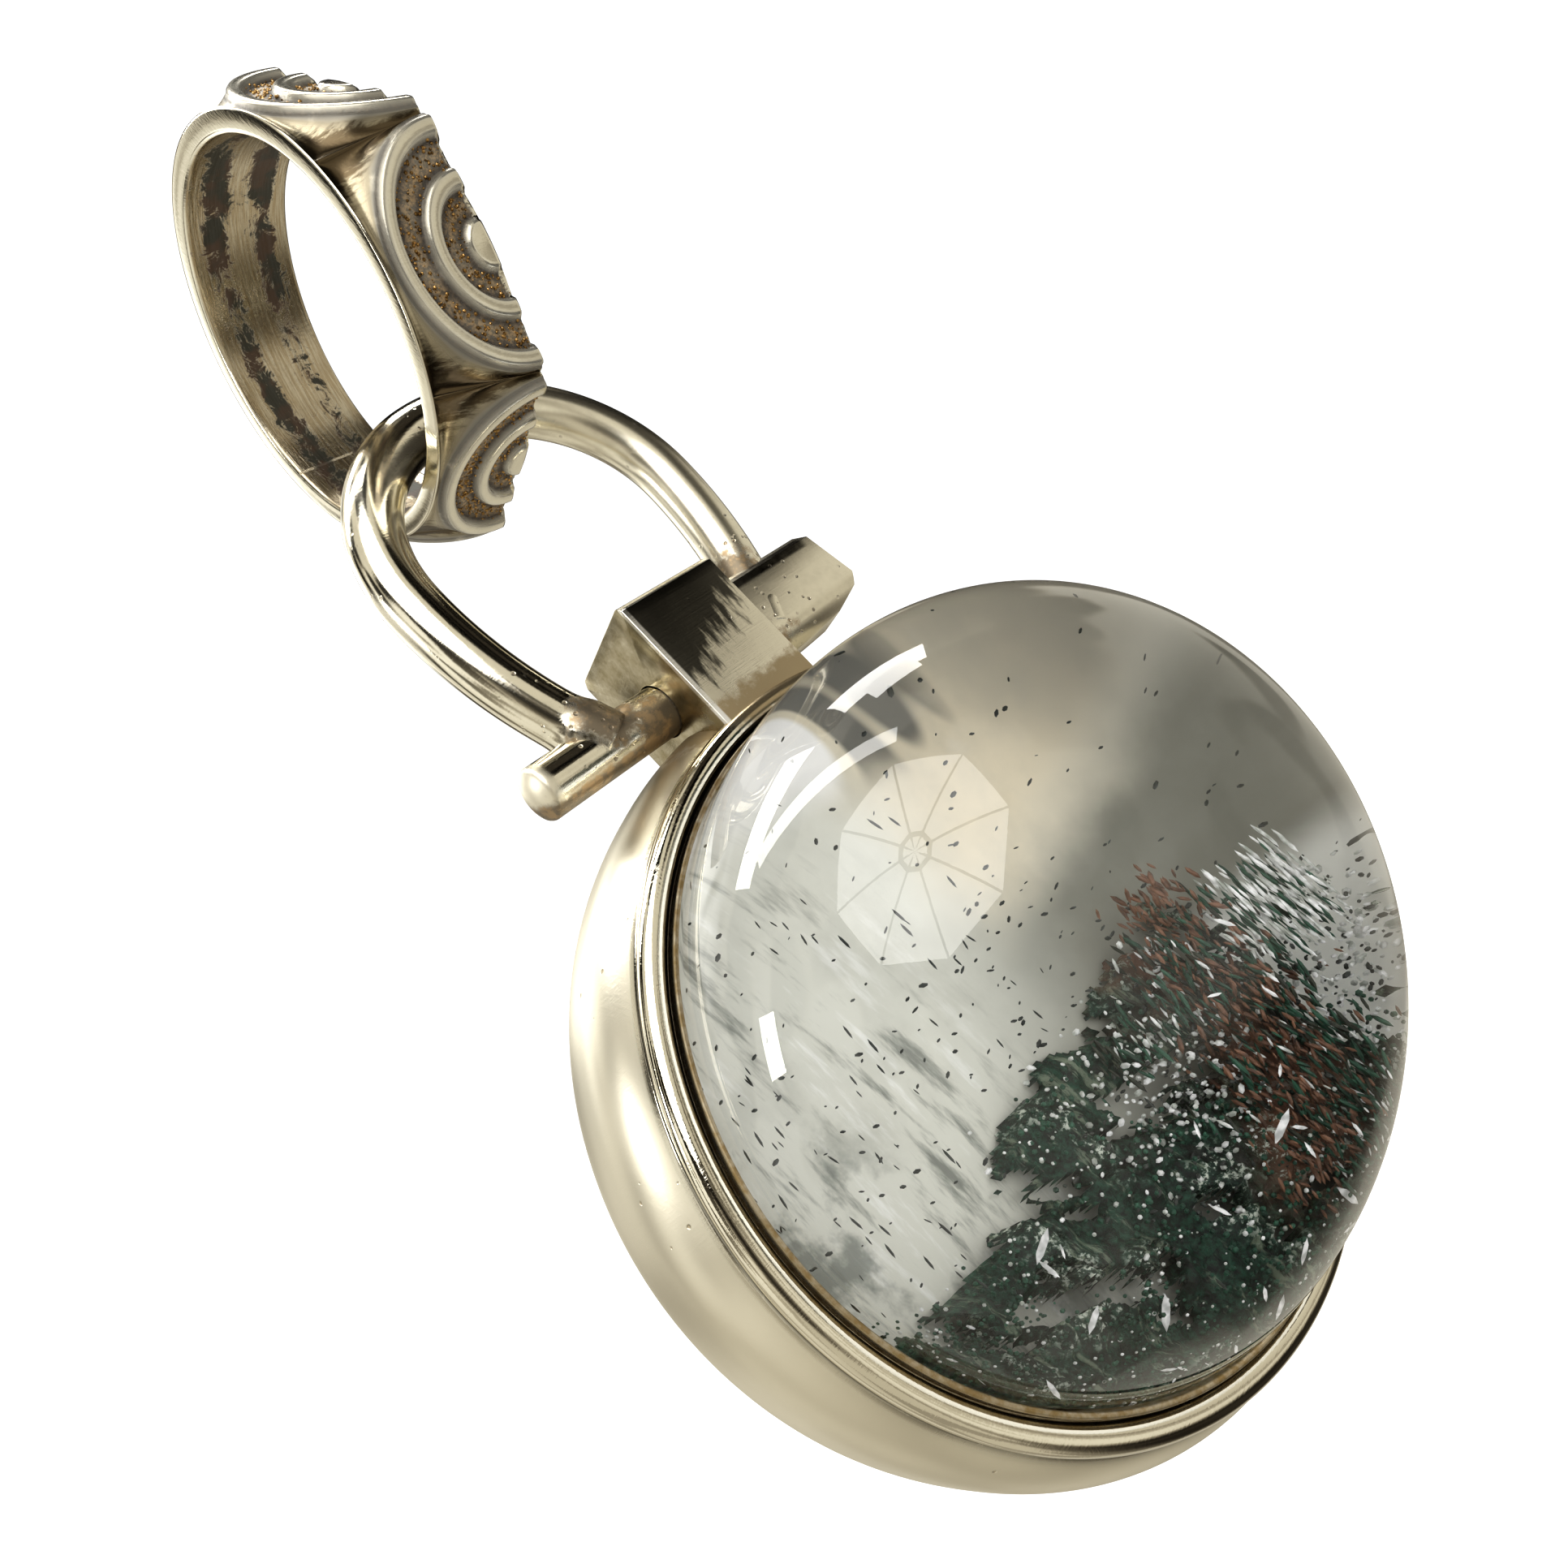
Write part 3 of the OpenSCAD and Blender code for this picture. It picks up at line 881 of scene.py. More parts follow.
def bezel_silver(finish):
    """Setting: satin skirt with tiny pits, mirror bead, tarnished inner step, brushed block, black patina
    with painted shade in the grooves by the bead, and on the block a painted dark reflection and a painted
    edge highlight.
    """
    paint = Paint("bezel_silver")
    place = paint.coords()
    polish, inner, solder, block, groove = paint.fields(*BEZEL_FIELDS)
    cloud = paint.noise(place, 3.5, 4, 0.6)
    fine = paint.noise(place, 0.5, 4, 0.65)
    brush = paint.noise(place, 0.9, 4, 0.6, stretch=(3, 1, 0.6), turn=(0, 0.35, 0))
    pits = (1 - paint.spots(place, 1.3).step(0.035, 0.07)) * (1 - polish)
    stain = (solder * 1.1 + fine * 0.8 - 1.0).step(0.0, 0.35)
    brown = (stain * 0.8).most(inner * (0.6 + 0.4 * fine.step(0.35, 0.65))).most(pits * 0.6)
    x, y, z = paint.mm_from(place, BAR + Vector((BLOCK_RIGHT, 0, 0)))
    left, front = -BLOCK.x / 2, -BLOCK.y / 2
    on_left = block * x.step(left + 0.12, left + 0.05)
    on_front = block * y.step(front + 0.12, front + 0.05)
    # Painted highlight: a near-white line down the block's front left edge
    painted_edge_highlight = block * x.step(left + 0.24, left + 0.16) * y.step(front + 0.2, front + 0.12)
    # Painted dark reflection: the block's front goes near black towards its upper left, with a brushed edge
    painted_dark_reflection = on_front * (z + 5.5 * (brush - 0.5) - 0.55 * x).step(-0.3, 0.9)
    colour = paint.layers(
        shaded(finish.silver, 0.97),
        (cloud.step(0.3, 0.7) * 0.3, shaded(finish.silver, 0.84)),
        (brown, STEP_BROWN),
        # Black patina in the grooves by the bead, with painted shade where the grooves widen
        (groove * fine.step(0.15, 0.4) * 0.95, tuple(finish.black_patina_and_shade)),
        (on_left * (0.3 + 0.9 * fine).clamp(), BLOCK_SIDE),
        (painted_dark_reflection * 0.93, BLOCK_PAINTED_REFLECTION),
        (painted_edge_highlight * 0.9, EDGE_PAINTED_HIGHLIGHT))
    roughness = 0.05 + (1 - polish) * (0.30 - 0.13 * block + 0.1 * (cloud - 0.5)) + 0.2 * brown
    normal = paint.bump(pits, -0.05, 0.8, scratched(paint, place, 0.004))
    return paint.apply(Base_Color=colour, Metallic=1 - 0.2 * brown, Roughness=roughness, Normal=normal)


def quartz_glass(finish):
    """Clear polished quartz."""
    paint = Paint("quartz_glass", Roughness=0.0, IOR=QUARTZ_IOR, Transmission_Weight=1.0)
    return paint.apply(Base_Color=tuple(finish.quartz))


def frosted_foot_and_reflection(finish):
    """The stone's flat frosted foot, seen through the dome: pale on the left, beige above, dark on the
    right, where the dark is a painted reflection of the setting's inside.
    """
    paint = Paint("frosted_foot_and_reflection", Roughness=0.45)
    place = paint.coords()
    x, _, z = paint.mm_from(place, RIM)
    sway = paint.noise(place, 3.5, 4) - 0.5
    cloud = paint.noise(place, 2.5, 5, 0.6)
    veil = paint.noise(place, 1.2, 5, 0.65, turn=(0, 0.6, 0), stretch=(1.6, 1, 0.35))
    swirl = paint.noise(place, 3.0, 0, 0.5, 0.6, turn=(0, 0.75, 0), stretch=(1.7, 1, 0.5))
    high = (z - 0.1 * x + 2.2 * sway).step(0.6, 3.4)
    # Painted dark reflection of the setting's inside: the foot goes dark towards the right, below the beige
    # patch
    right = (x + 3.5 * sway).step(-1.5, 5.5)
    far = (x + 0.35 * z + 2.5 * sway).step(7.0, 12.0)
    left = (x + 2 * sway).step(2.0, -3.0)
    smudge = (x + 0.4 * z + sway).step(-4.0, -6.0) * z.step(3.0, 1.0) * cloud.step(0.47, 0.60)
    by_rim = (x * 0.25 + z + 1.5 * sway).step(6.2, 7.4) * (x - z * 0.4).step(4.5, 2.5)
    speckled = (x + sway).step(5.2, 6.2) * (z + sway).step(-1.0, -2.0) * (z + 2 * sway).step(-8.0, -6.8)
    colour = paint.layers(
        tuple(finish.ground),
        (right * (1 - high), FOOT_PAINTED_REFLECTION),
        (high * (x + 3 * sway).step(0.5, 4.5), paint.mix(far, FOOT_BEIGE, FOOT_FAR)),
        (cloud.step(0.4, 0.75) * 0.3, FOOT_CLOUD),
        (veil.step(0.52, 0.70) * left * 0.8, VEIL_DARK),
        (veil.step(0.46, 0.3) * left * 0.6, VEIL_WHITE),
        (smudge * 0.75, SMUDGE),
        (by_rim * swirl.step(0.50, 0.56) * 0.85, SWIRL_DARK),
        (by_rim * swirl.step(0.46, 0.40) * 0.9, SWIRL_WHITE),
        (speckled * 0.9, SPECKLED))
    return paint.apply(Base_Color=colour, Metallic=0.1)


def moss_stone(finish):
    """Green inclusions, rust and pale grains by the mesh's own fields."""
    paint = Paint("moss_stone", Roughness=0.55)
    place = paint.coords()
    rust, pale = paint.fields("rust", "pale")
    grain = paint.noise(place, 0.22, 4, 0.7)
    cloud = paint.noise(place, 1.3, 4, 0.6)
    veil = paint.noise(place, 1.0, 5, 0.7, turn=(0, 0.35, 0), stretch=(2.6, 1, 0.5))
    colour = paint.layers(
        shaded(finish.moss, 0.1),
        (grain.step(0.35, 0.7), shaded(finish.moss, 1.5)),
        (veil.step(0.55, 0.66) * 0.75, MOSS_PALE),
        (veil.step(0.46, 0.38) * 0.8, MOSS_BLACK),
        ((rust * cloud.step(0.3, 0.55)).clamp(), tuple(finish.rust)),
        ((pale * grain.step(0.52, 0.62)).clamp(), BED_GRAIN))
    return paint.apply(Base_Color=colour, Normal=paint.bump(grain, 0.08))


def plain_finish(name, colour, roughness, metallic=0.0):
    """A small grain's colour, a little lighter and darker from grain to grain."""
    paint = Paint(name, Roughness=roughness, Metallic=metallic)
    cloud = paint.noise(paint.coords(), 0.35, 2)
    return paint.apply(Base_Color=paint.mix(cloud.step(0.3, 0.7), shaded(colour, 0.5), shaded(colour, 1.5)))


# Bail

SPOKES = 120
OVAL_ROWS = 64
BEVEL_ROWS = 10
RIM_SPOKES = 360
# Raised ovals as shares of the outer one: inner foot, inner edge, outer edge, outer foot
RIDGES = [(-0.6, -0.4, 0.17, 0.24), (0.41, 0.46, 0.57, 0.62), (0.82, 0.87, 0.975, 1.02)]
OVAL_END = 1.02
CROWN_FALL = 0.25
CREASE_W = 0.055
SAND_DEPTH = 0.035
SAND_SEED = 11
HOLE_ROUNDING = 0.2
# Grains of sand per square metre
GRAIN_DENSITY = 3.0e7
GRAIN_SEED = 5


def ridge_height(share):
    """Relief from 0 to 1 at a share of the outer oval, and the creases at its ridges' feet."""
    height, crease = np.zeros_like(share), np.zeros_like(share)
    for foot_in, edge_in, edge_out, foot_out in RIDGES:
        middle, half = (edge_in + edge_out) / 2, (foot_out - foot_in) / 2
        crown = 1 - CROWN_FALL * ((share - middle) / half) ** 2
        height += step(foot_in, edge_in, share) * (1 - step(edge_out, foot_out, share)) * crown
        crease += bell(share - foot_in, CREASE_W) + bell(share - foot_out, CREASE_W)
    return height, np.clip(crease, 0, 1)


def bail_point(angle, radius, x):
    return np.stack([x, -radius * np.cos(angle), radius * np.sin(angle) - HOLE_R], -1)


def bail_face(turn, relief):
    """Points and fields of one face: half ovals round a middle on its far edge, then the bevels."""
    spoke = np.linspace(-math.pi, 0, SPOKES + 1)
    along, aside = np.cos(spoke), abs(np.sin(spoke))
    share = np.linspace(0.0, OVAL_END, OVAL_ROWS)[:, None]
    height, crease = ridge_height(share)
    sand = np.random.default_rng(SAND_SEED).random((OVAL_ROWS, SPOKES + 1))
    ground = (1 - step(0.0, 0.5, height)) * step(OVAL_END, 1.0, share) * np.ones_like(sand)
    u, down = OVAL_U * share * along, -OVAL_W * share * np.sin(spoke)
    out = FACE_R + relief * height - SAND_DEPTH * ground * sand
    out = out - SIDE_FALL * (down / OVAL_W) ** 2
    ovals = np.stack([FAR_W - down, -out * math.cos(turn) + u * math.sin(turn),
                      out * math.sin(turn) + u * math.cos(turn) - HOLE_R], -1)
    edge = np.stack([along, aside]) / np.maximum(abs(along), aside)
    edge_r = RIM_R + (CORNER_R - RIM_R) * (1 - edge[1]).clip(0) * abs(edge[0])
    rim = bail_point(turn + edge[0] * math.pi / FACES, edge_r, FAR_W - edge[1] * (FAR_W + BAIL_W / 2))
    sink = BEVEL_SINK * abs(np.sin(2 * spoke))
    outward = np.array([0, -math.cos(turn), math.sin(turn)])
    t = np.linspace(0, 1, BEVEL_ROWS + 1)[1:, None, None]
    bevel = ovals[-1] * (1 - t) + rim * t - 4 * t * (1 - t) * sink[:, None] * outward
    blank, plain = np.zeros_like(sand), np.ones(bevel.shape[:2])
    fields = {
        "ground": np.concatenate([ground, 0 * plain]),
        "crease": np.concatenate([crease + blank, np.exp(-6 * t[:, :, 0]) * plain]),
        "bevel": np.concatenate([blank, plain]),
        "corner": np.concatenate([blank, t[:, :, 0] * abs(edge[0]) ** 3]),
    }
    return np.concatenate([ovals, bevel]), fields


def far_strip(grid):
    """The strip from a face's far edge round to the far rim."""
    line = np.concatenate([grid[::-1, 0], grid[1:, -1]])
    angle = np.arctan2(line[:, 2] + HOLE_R, -line[:, 1])
    radius = np.hypot(line[:, 1], line[:, 2] + HOLE_R)
    half = BAIL_W / 2
    between = (radius * 0.7 + RIM_R * 0.3 - 0.02, FAR_W * 0.4 + half * 0.6)
    rows = [(radius, FAR_W), between, (0 * radius + RIM_R, half)]
    return np.stack([bail_point(angle, r, np.full_like(angle, x)) for r, x in rows])


def rim_profile():
    """The bail's rims and hole from the near side to the far one: radius and place along the hole."""
    half, soft = BAIL_W / 2, HOLE_ROUNDING
    near = [(RIM_R + 0.03, half - 0.06), (RIM_R, half - 0.01), (RIM_R - 0.05, half)]
    near += arc((HOLE_R + soft, half - soft), soft, 90, 180, 6)
    middle = [(HOLE_R, w) for w in np.linspace(half - soft, -half + soft, 9)[1:-1]]
    return near + middle + [(r, -w) for r, w in reversed(near)]


def sow_bail(bail, largest, finish):
    """Sows sand over the ground between the bail's ridges."""
    ground = np.zeros(len(bail.data.vertices), np.float32)
    bail.data.attributes["ground"].data.foreach_get("value", ground)
    set_field(bail.data, "thick", ground > 0.9)
    sand = plain_finish("sand_silver", shaded(finish.tarnish, 2.1), 0.28, 0.95)
    return scatter("bail_grains", bail, scatter_tree("grains"), largest, Density=GRAIN_DENSITY,
                   Seed=GRAIN_SEED, Stretch=(1, 1, 1), Turn=(3.1, 3.1, 3.1), Material=sand)


class PENDANT_OT_bail(bpy.types.Operator):
    """Build the cast bail with its six faces of raised ovals"""
    bl_idname = "pendant.bail"
    bl_label = "Bail"

    def execute(self, context):
        details, finish = context.scene.pendant_details, context.scene.pendant_finishes
        blocks, faces, start = [], [], 0
        columns = {key: [] for key in BAIL_FIELDS}
        for f in range(FACES):
            grid, fields = bail_face(math.radians(FACE_TURN + 360 / FACES * f), details.relief / MM)
            for block, values in ((grid, fields), (far_strip(grid), {})):
                blocks.append(block.reshape(-1, 3))
                faces += sheet_faces(*block.shape[:2], start)
                start += len(blocks[-1])
                for key, column in columns.items():
                    column.append(np.ravel(values.get(key, np.zeros(block.shape[:2]))))
        around, profile = full_turn(RIM_SPOKES), rim_profile()
        faces += ring_faces(len(profile), len(around), start)
        blocks.append(np.concatenate([bail_point(around, r, np.full_like(around, w)) for r, w in profile]))
        for key, column in columns.items():
            in_hole = [key == "inside" and r < HOLE_R + 0.05 for r, _ in profile]
            column.append(np.repeat(in_hole, len(around)))
        points = np.concatenate(blocks)
        fields = {key: np.concatenate(column) for key, column in columns.items()}
        fields["round"] = np.arctan2(points[:, 2] + HOLE_R, -points[:, 1]) * HOLE_R * MM
        fields["across"] = points[:, 0] * MM
        bail = make_piece("bail_ring", points, faces, [cast_silver(finish)], fields, BAIL_MERGE)
        dress(sow_bail(bail, details.grain, finish), "bail", "cast_silver")
        dress(bail, "bail", "cast_silver", "bail")
        return {"FINISHED"}


# Loop

WIRE_SPOKES = 40
ROD_SPOKES = 64
# The wire's swelling where it is soldered on, as a share of its radius, and how far up it reaches
FOOT_SWELL = 0.16
FOOT_SWELL_W = 0.55
# How far solder stains reach, and how strong they are on the head
SOLDER_REACH = 1.7
HEAD_SOLDER = 0.8
HEAD_EDGE = 0.35
HEAD_ROUNDING = 0.13
# Points along the wire's sides and bend, and along the crossbar's cap and shaft
SIDE_STEPS, BEND_STEPS, CAP_STEPS, SHAFT_STEPS = 60, 110, 14, 40
# The head's underside and end as straight cuts from point to point of the side view: x, z
HEAD_CUTS = [(HEAD_LEFT + 1.9, -1.2), (HEAD_RIGHT - 1.6, -0.95), (HEAD_RIGHT - 0.35, -0.5), (HEAD_RIGHT, 0),
             (HEAD_RIGHT - 0.5, HEAD_UP - HEAD_EDGE), (HEAD_RIGHT - 0.85, HEAD_UP)]


def wire_path():
    """Centres of the loop's wire from the left foot over the bend to the right foot, in the XZ plane."""
    side_turn = math.degrees(math.asin(BEND_UP / SIDE_R))
    middle, bend_z = WIRE_TOP.x, WIRE_TOP.z - BEND_R
    left = arc((middle - BEND_R + SIDE_R, bend_z), SIDE_R, 180 + side_turn, 180, SIDE_STEPS)
    top = arc((middle, bend_z), BEND_R, 180, 0, BEND_STEPS)
    right = arc((middle + BEND_R - SIDE_R, bend_z), SIDE_R, 0, -side_turn, SIDE_STEPS)
    return np.array(left + top[1:-1] + right)


def near_solder(points):
    """How close each point lies to where the wire and the head are soldered on, from 0 to 1."""
    path = wire_path()
    joints = [(path[0][0], BAR.z + 0.6), (path[-1][0], BAR.z + 2.6), (BAR.x + HEAD_LEFT - 0.3, BAR.z - 0.8),
              (BAR.x + BLOCK_RIGHT - BLOCK.x / 2 - 0.6, BAR.z - 0.7)]
    places = np.asarray(points)[:, [0, 2]]
    return bell(np.min([np.hypot(*(places - joint).T) for joint in joints], axis=0), SOLDER_REACH)


def wire_mesh(material):
    """The round wire, a little thicker where it is soldered to the crossbar."""
    path = wire_path()
    along = np.gradient(path, axis=0)
    along /= np.linalg.norm(along, axis=1)[:, None]
    outward = np.stack([-along[:, 1], along[:, 0]], -1)
    travel = np.concatenate([[0], np.cumsum(np.linalg.norm(np.diff(path, axis=0), axis=1))])
    from_end = np.minimum(travel, travel[-1] - travel)
    radius = WIRE_R * (1 + FOOT_SWELL * bell(np.maximum(from_end - BAR_R, 0), FOOT_SWELL_W))
    turn = full_turn(WIRE_SPOKES)
    x = path[:, :1] + radius[:, None] * np.cos(turn) * outward[:, :1]
    z = path[:, 1:] + radius[:, None] * np.cos(turn) * outward[:, 1:]
    points = as_points(x, BAR.y + radius[:, None] * np.sin(turn), z)
    faces = ring_faces(len(path), WIRE_SPOKES)
    faces += [ring_cap(0, WIRE_SPOKES), ring_cap(len(path) - 1, WIRE_SPOKES)]
    return make_piece("loop_wire", points, faces, [material], {"solder": near_solder(points)})


def rod_mesh(material):
    """The crossbar from its domed left end to inside the head."""
    cap_foot = -BAR_LEFT + (CAP_R - math.sqrt(CAP_R ** 2 - BAR_R ** 2))
    dome = [(-BAR_LEFT + CAP_R - math.sqrt(CAP_R ** 2 - r * r), r)
            for r in np.linspace(0, BAR_R - 0.06, CAP_STEPS)]
    edge = [(cap_foot + 0.02, BAR_R - 0.02), (cap_foot + 0.08, BAR_R)]
    shaft = [(x, BAR_R) for x in np.linspace(cap_foot + 0.2, HEAD_LEFT + 1, SHAFT_STEPS)]
    profile = np.array(dome + edge + shaft)
    turn = full_turn(ROD_SPOKES)
    x = np.repeat(profile[:, :1] + BAR.x, ROD_SPOKES, axis=1)
    points = as_points(x, profile[:, 1:] * np.cos(turn) + BAR.y, profile[:, 1:] * np.sin(turn) + BAR.z)
    faces = ring_faces(len(profile), ROD_SPOKES) + [ring_cap(len(profile) - 1, ROD_SPOKES)]
    return make_piece("crossbar", points, faces, [material], {"solder": near_solder(points)})


def head_mesh(material):
    """The flat-sided head: a rounded bar cut by the planes of its end and underside."""
    top = HEAD_UP - HEAD_EDGE
    outline = arc((0, 0), HEAD_R, 180, 360, 41)
    outline += [(HEAD_R, top), (HEAD_R - HEAD_EDGE, HEAD_UP), (-HEAD_R + HEAD_EDGE, HEAD_UP),
                (-HEAD_R, top)]
    count = len(outline)
    points = [(x, y, z) for x in (HEAD_LEFT, HEAD_RIGHT) for y, z in outline]
    faces = ring_faces(2, count) + [ring_cap(0, count), ring_cap(1, count)]
    head = make_piece("crossbar_head", points, faces, [material])
    work = bmesh.new()
    work.from_mesh(head.data)
    for (x0, z0), (x1, z1) in zip(HEAD_CUTS, HEAD_CUTS[1:]):
        found = bmesh.ops.bisect_plane(
            work, geom=work.verts[:] + work.edges[:] + work.faces[:], dist=CUT_MERGE,
            plane_co=Vector((x0, 0, z0)) * MM, plane_no=Vector((z1 - z0, 0, x0 - x1)), clear_outer=True)
        cut = [e for e in found["geom_cut"] if isinstance(e, bmesh.types.BMEdge)]
        bmesh.ops.holes_fill(work, edges=cut)
    write_back(work, head.data)
    head.data.transform(Matrix.Translation(BAR * MM))
    places = np.array([v.co for v in head.data.vertices]) / MM
    set_field(head.data, "solder", HEAD_SOLDER * near_solder(places))
    return finish_edges(head, HEAD_ROUNDING)


class PENDANT_OT_loop(bpy.types.Operator):
    """Build the wire loop with its crossbar and head"""
    bl_idname = "pendant.loop"
    bl_label = "Loop"

    def execute(self, context):
        material = wire_silver(context.scene.pendant_finishes)
        dress(wire_mesh(material), "loop", "wire_silver", "loop")
        dress(rod_mesh(material), "loop", "wire_silver")
        dress(head_mesh(material), "loop", "wire_silver")
        return {"FINISHED"}


# Setting

BEZEL_SPOKES = 288
LIP_ROUNDING = 0.1
BLOCK_ROUNDING = 0.07
BLOCK_SIDE_CUTS = 12
# Points along the profile's bowl, swell, bead, lip, well and hollow, and the bead's two ends in degrees
BOWL_STEPS, SWELL_STEPS, BEAD_STEPS, LIP_STEPS, WELL_STEPS, HOLLOW_STEPS = 64, 24, 26, 8, 12, 30
BEAD_ENDS = (-38, 172)


def bowl_curve(radius, half, start, steps):
    """Half of the bowl's side, from an angle to the middle of the back."""
    power = 2 / BOWL_POWER
    return [(radius * max(math.cos(a), 0) ** power, -BULGE_DEPTH - half * math.sin(a) ** power)
            for a in np.radians(np.linspace(start, 90, steps))]


def bezel_profile():
    """The setting's silver from the middle of the back over the bead to the hollow behind the stone."""
    outside = bowl_curve(BULGE_R, BACK_DEPTH - BULGE_DEPTH, 0, BOWL_STEPS)[::-1]
    swell = [(BULGE_R - MOUTH_FALL * (1 - d / BULGE_DEPTH) ** MOUTH_POWER, -d)
             for d in np.linspace(BULGE_DEPTH, 0.08, SWELL_STEPS)[1:]]
    bead = arc((BEAD_R - BEAD_D / 2, BEAD_FRONT), BEAD_D / 2, *BEAD_ENDS, BEAD_STEPS)
    wall, lip_out = STONE_R + STONE_GAP, BEAD_R - BEAD_D - 0.02
    lip = [(lip_out, BEAD_FRONT - 0.02), (lip_out - 0.03, BEAD_FRONT + 0.12),
           (lip_out - 0.02, BEAD_FRONT + 0.24)]
    lip += arc((wall + LIP_ROUNDING, LIP_FRONT - LIP_ROUNDING), LIP_ROUNDING, 20, 180, LIP_STEPS)
    well = [(wall, y) for y in np.linspace(LIP_FRONT - 0.2, -LEDGE_DEPTH, WELL_STEPS)]
    back = LEDGE_DEPTH + LEDGE_T
    ledge = [(LEDGE_IN, -LEDGE_DEPTH), (LEDGE_IN, -back)]
    hollow_half = BACK_DEPTH - BULGE_DEPTH - WALL_T
    start = math.degrees(math.asin(((back - BULGE_DEPTH) / hollow_half) ** (BOWL_POWER / 2)))
    hollow = bowl_curve(BULGE_R - WALL_T, hollow_half, start, HOLLOW_STEPS)
    return outside + swell + bead + lip + well + ledge + hollow


def bezel_mesh(material):
    """The bowl, bead and lip as one turned piece, with fields for its finish."""
    profile = bezel_profile()
    points = turned(profile, BEZEL_SPOKES)
    radius, front = np.array(profile).T
    polish = step(-0.25, 0.02, front) * step(BEAD_R - BEAD_D - 0.12, BEAD_R - BEAD_D, radius)
    inner = step(BEAD_R - BEAD_D + 0.06, BEAD_R - BEAD_D - 0.06, radius) * step(-3.5, -3.0, front)
    near_block = np.hypot((points[:, 0] - RIM.x - BLOCK_RIGHT) / 4.6, (points[:, 1] - BAR.y) / 4.2)
    solder = step(1.25, 0.55, near_block) * step(RIM.z + 11.5, RIM.z + 13.2, points[:, 2])
    radius, front = radius[:, None], front[:, None]
    # Black in the grooves under and beside the bead: patina, widened by painted shade under the bead
    # towards the bottom and beside it towards the top
    high = points[:, 2].reshape(-1, BEZEL_SPOKES) - RIM.z
    under_w, beside_w = 0.09 + 0.22 * step(-3.0, -11.0, high), 0.06 + 0.10 * step(2.0, 7.0, high)
    under_bead = bell(front + 0.01 - under_w / 2, under_w) * (radius > BEAD_R - 0.35)
    beside_bead = bell(radius - BEAD_R + BEAD_D - 0.05, beside_w) * (front > 0.1)
    groove = np.clip(under_bead + beside_bead, 0, 1).ravel()
    polish, inner = np.repeat(polish, BEZEL_SPOKES), np.repeat(inner, BEZEL_SPOKES)
    fields = dict(zip(BEZEL_FIELDS, (polish, inner, solder, np.zeros(len(points)), groove)))
    return make_piece("bezel_bowl", points, ring_faces(len(profile), BEZEL_SPOKES), [material], fields)


def block_mesh(material):
    """The hinge block: its side outline with the bore, pulled through its width."""
    half, top = BLOCK.y / 2, BLOCK.z - BLOCK_EDGE
    corners = [(half, -BLOCK_SINK), (half, top), (half - BLOCK_EDGE, BLOCK.z),
               (-half + BLOCK_EDGE, BLOCK.z), (-half, top), (-half, -BLOCK_SINK)]
    outline = []
    for (y0, z0), (y1, z1) in zip(corners, corners[1:] + corners[:1]):
        outline += [(y0 + (y1 - y0) * s, z0 + (z1 - z0) * s) for s in np.arange(0, 1, 1 / BLOCK_SIDE_CUTS)]
    bore = [(BORE_R * y / math.hypot(y, z), BORE_R * z / math.hypot(y, z)) for y, z in outline]
    left = BLOCK_RIGHT - BLOCK.x / 2
    rings = [(left, outline), (left + BLOCK.x, outline), (left + BLOCK.x, bore), (left, bore)]
    points = [(x + BAR.x, y + BAR.y, z + BAR.z) for x, ring in rings for y, z in ring]
    z = np.array(points)[:, 2]
    fields = dict.fromkeys(BEZEL_FIELDS, np.zeros(len(z)))
    fields.update(solder=step(BAR.z - 0.2, BAR.z - 2.2, z), block=np.ones(len(z)))
    faces = ring_faces(len(rings), len(outline), closed=True)
    return finish_edges(make_piece("hinge_block", points, faces, [material], fields), BLOCK_ROUNDING)


class PENDANT_OT_setting(bpy.types.Operator):
    """Build the bowl-shaped setting with its bead, lip and hinge block"""
    bl_idname = "pendant.setting"
    bl_label = "Setting"

    def execute(self, context):
        material = bezel_silver(context.scene.pendant_finishes)
        dress(bezel_mesh(material), "drop", "bezel_silver", "setting")
        dress(block_mesh(material), "drop", "bezel_silver")
        return {"FINISHED"}


# Stone

DOME_RINGS = 90
DOME_SPOKES = 240
# The garden's upper edge, seen from the front: x and z from the middle of the stone
GARDEN_EDGE = [(-12.5, -1.0), (-8.3, -3.0), (-4.6, -3.3), (-3.2, -2.3), (-1.4, -1.5),
               (2.7, -0.5), (6.1, 0.4), (8.0, -1.6), (9.2, -3.6), (12.5, -6.0)]
GARDEN_CELLS = 250
GARDEN_R = 11.75
# Width and length of the bed's combed fibres
COMB_W, COMB_L = 0.16, 1.6
# The rust streak's middle and half width at depths below the stone's middle
RUST_LINE = ([-1, 2.7, 5.0, 7.1], [4.5, 4.3, 3.7, 2.7])
RUST_W = ([0, 3, 7], [0.6, 1.1, 1.4])
STRIPE_PITCH = 0.62
# The flat carriers that grains are sown on
DISC_CELLS = 70
DISC_HALF = 11.5
DISC_R = 11.3
# How far the sown grains drift sideways, in millimetres
SIDE_DRIFT = 0.1


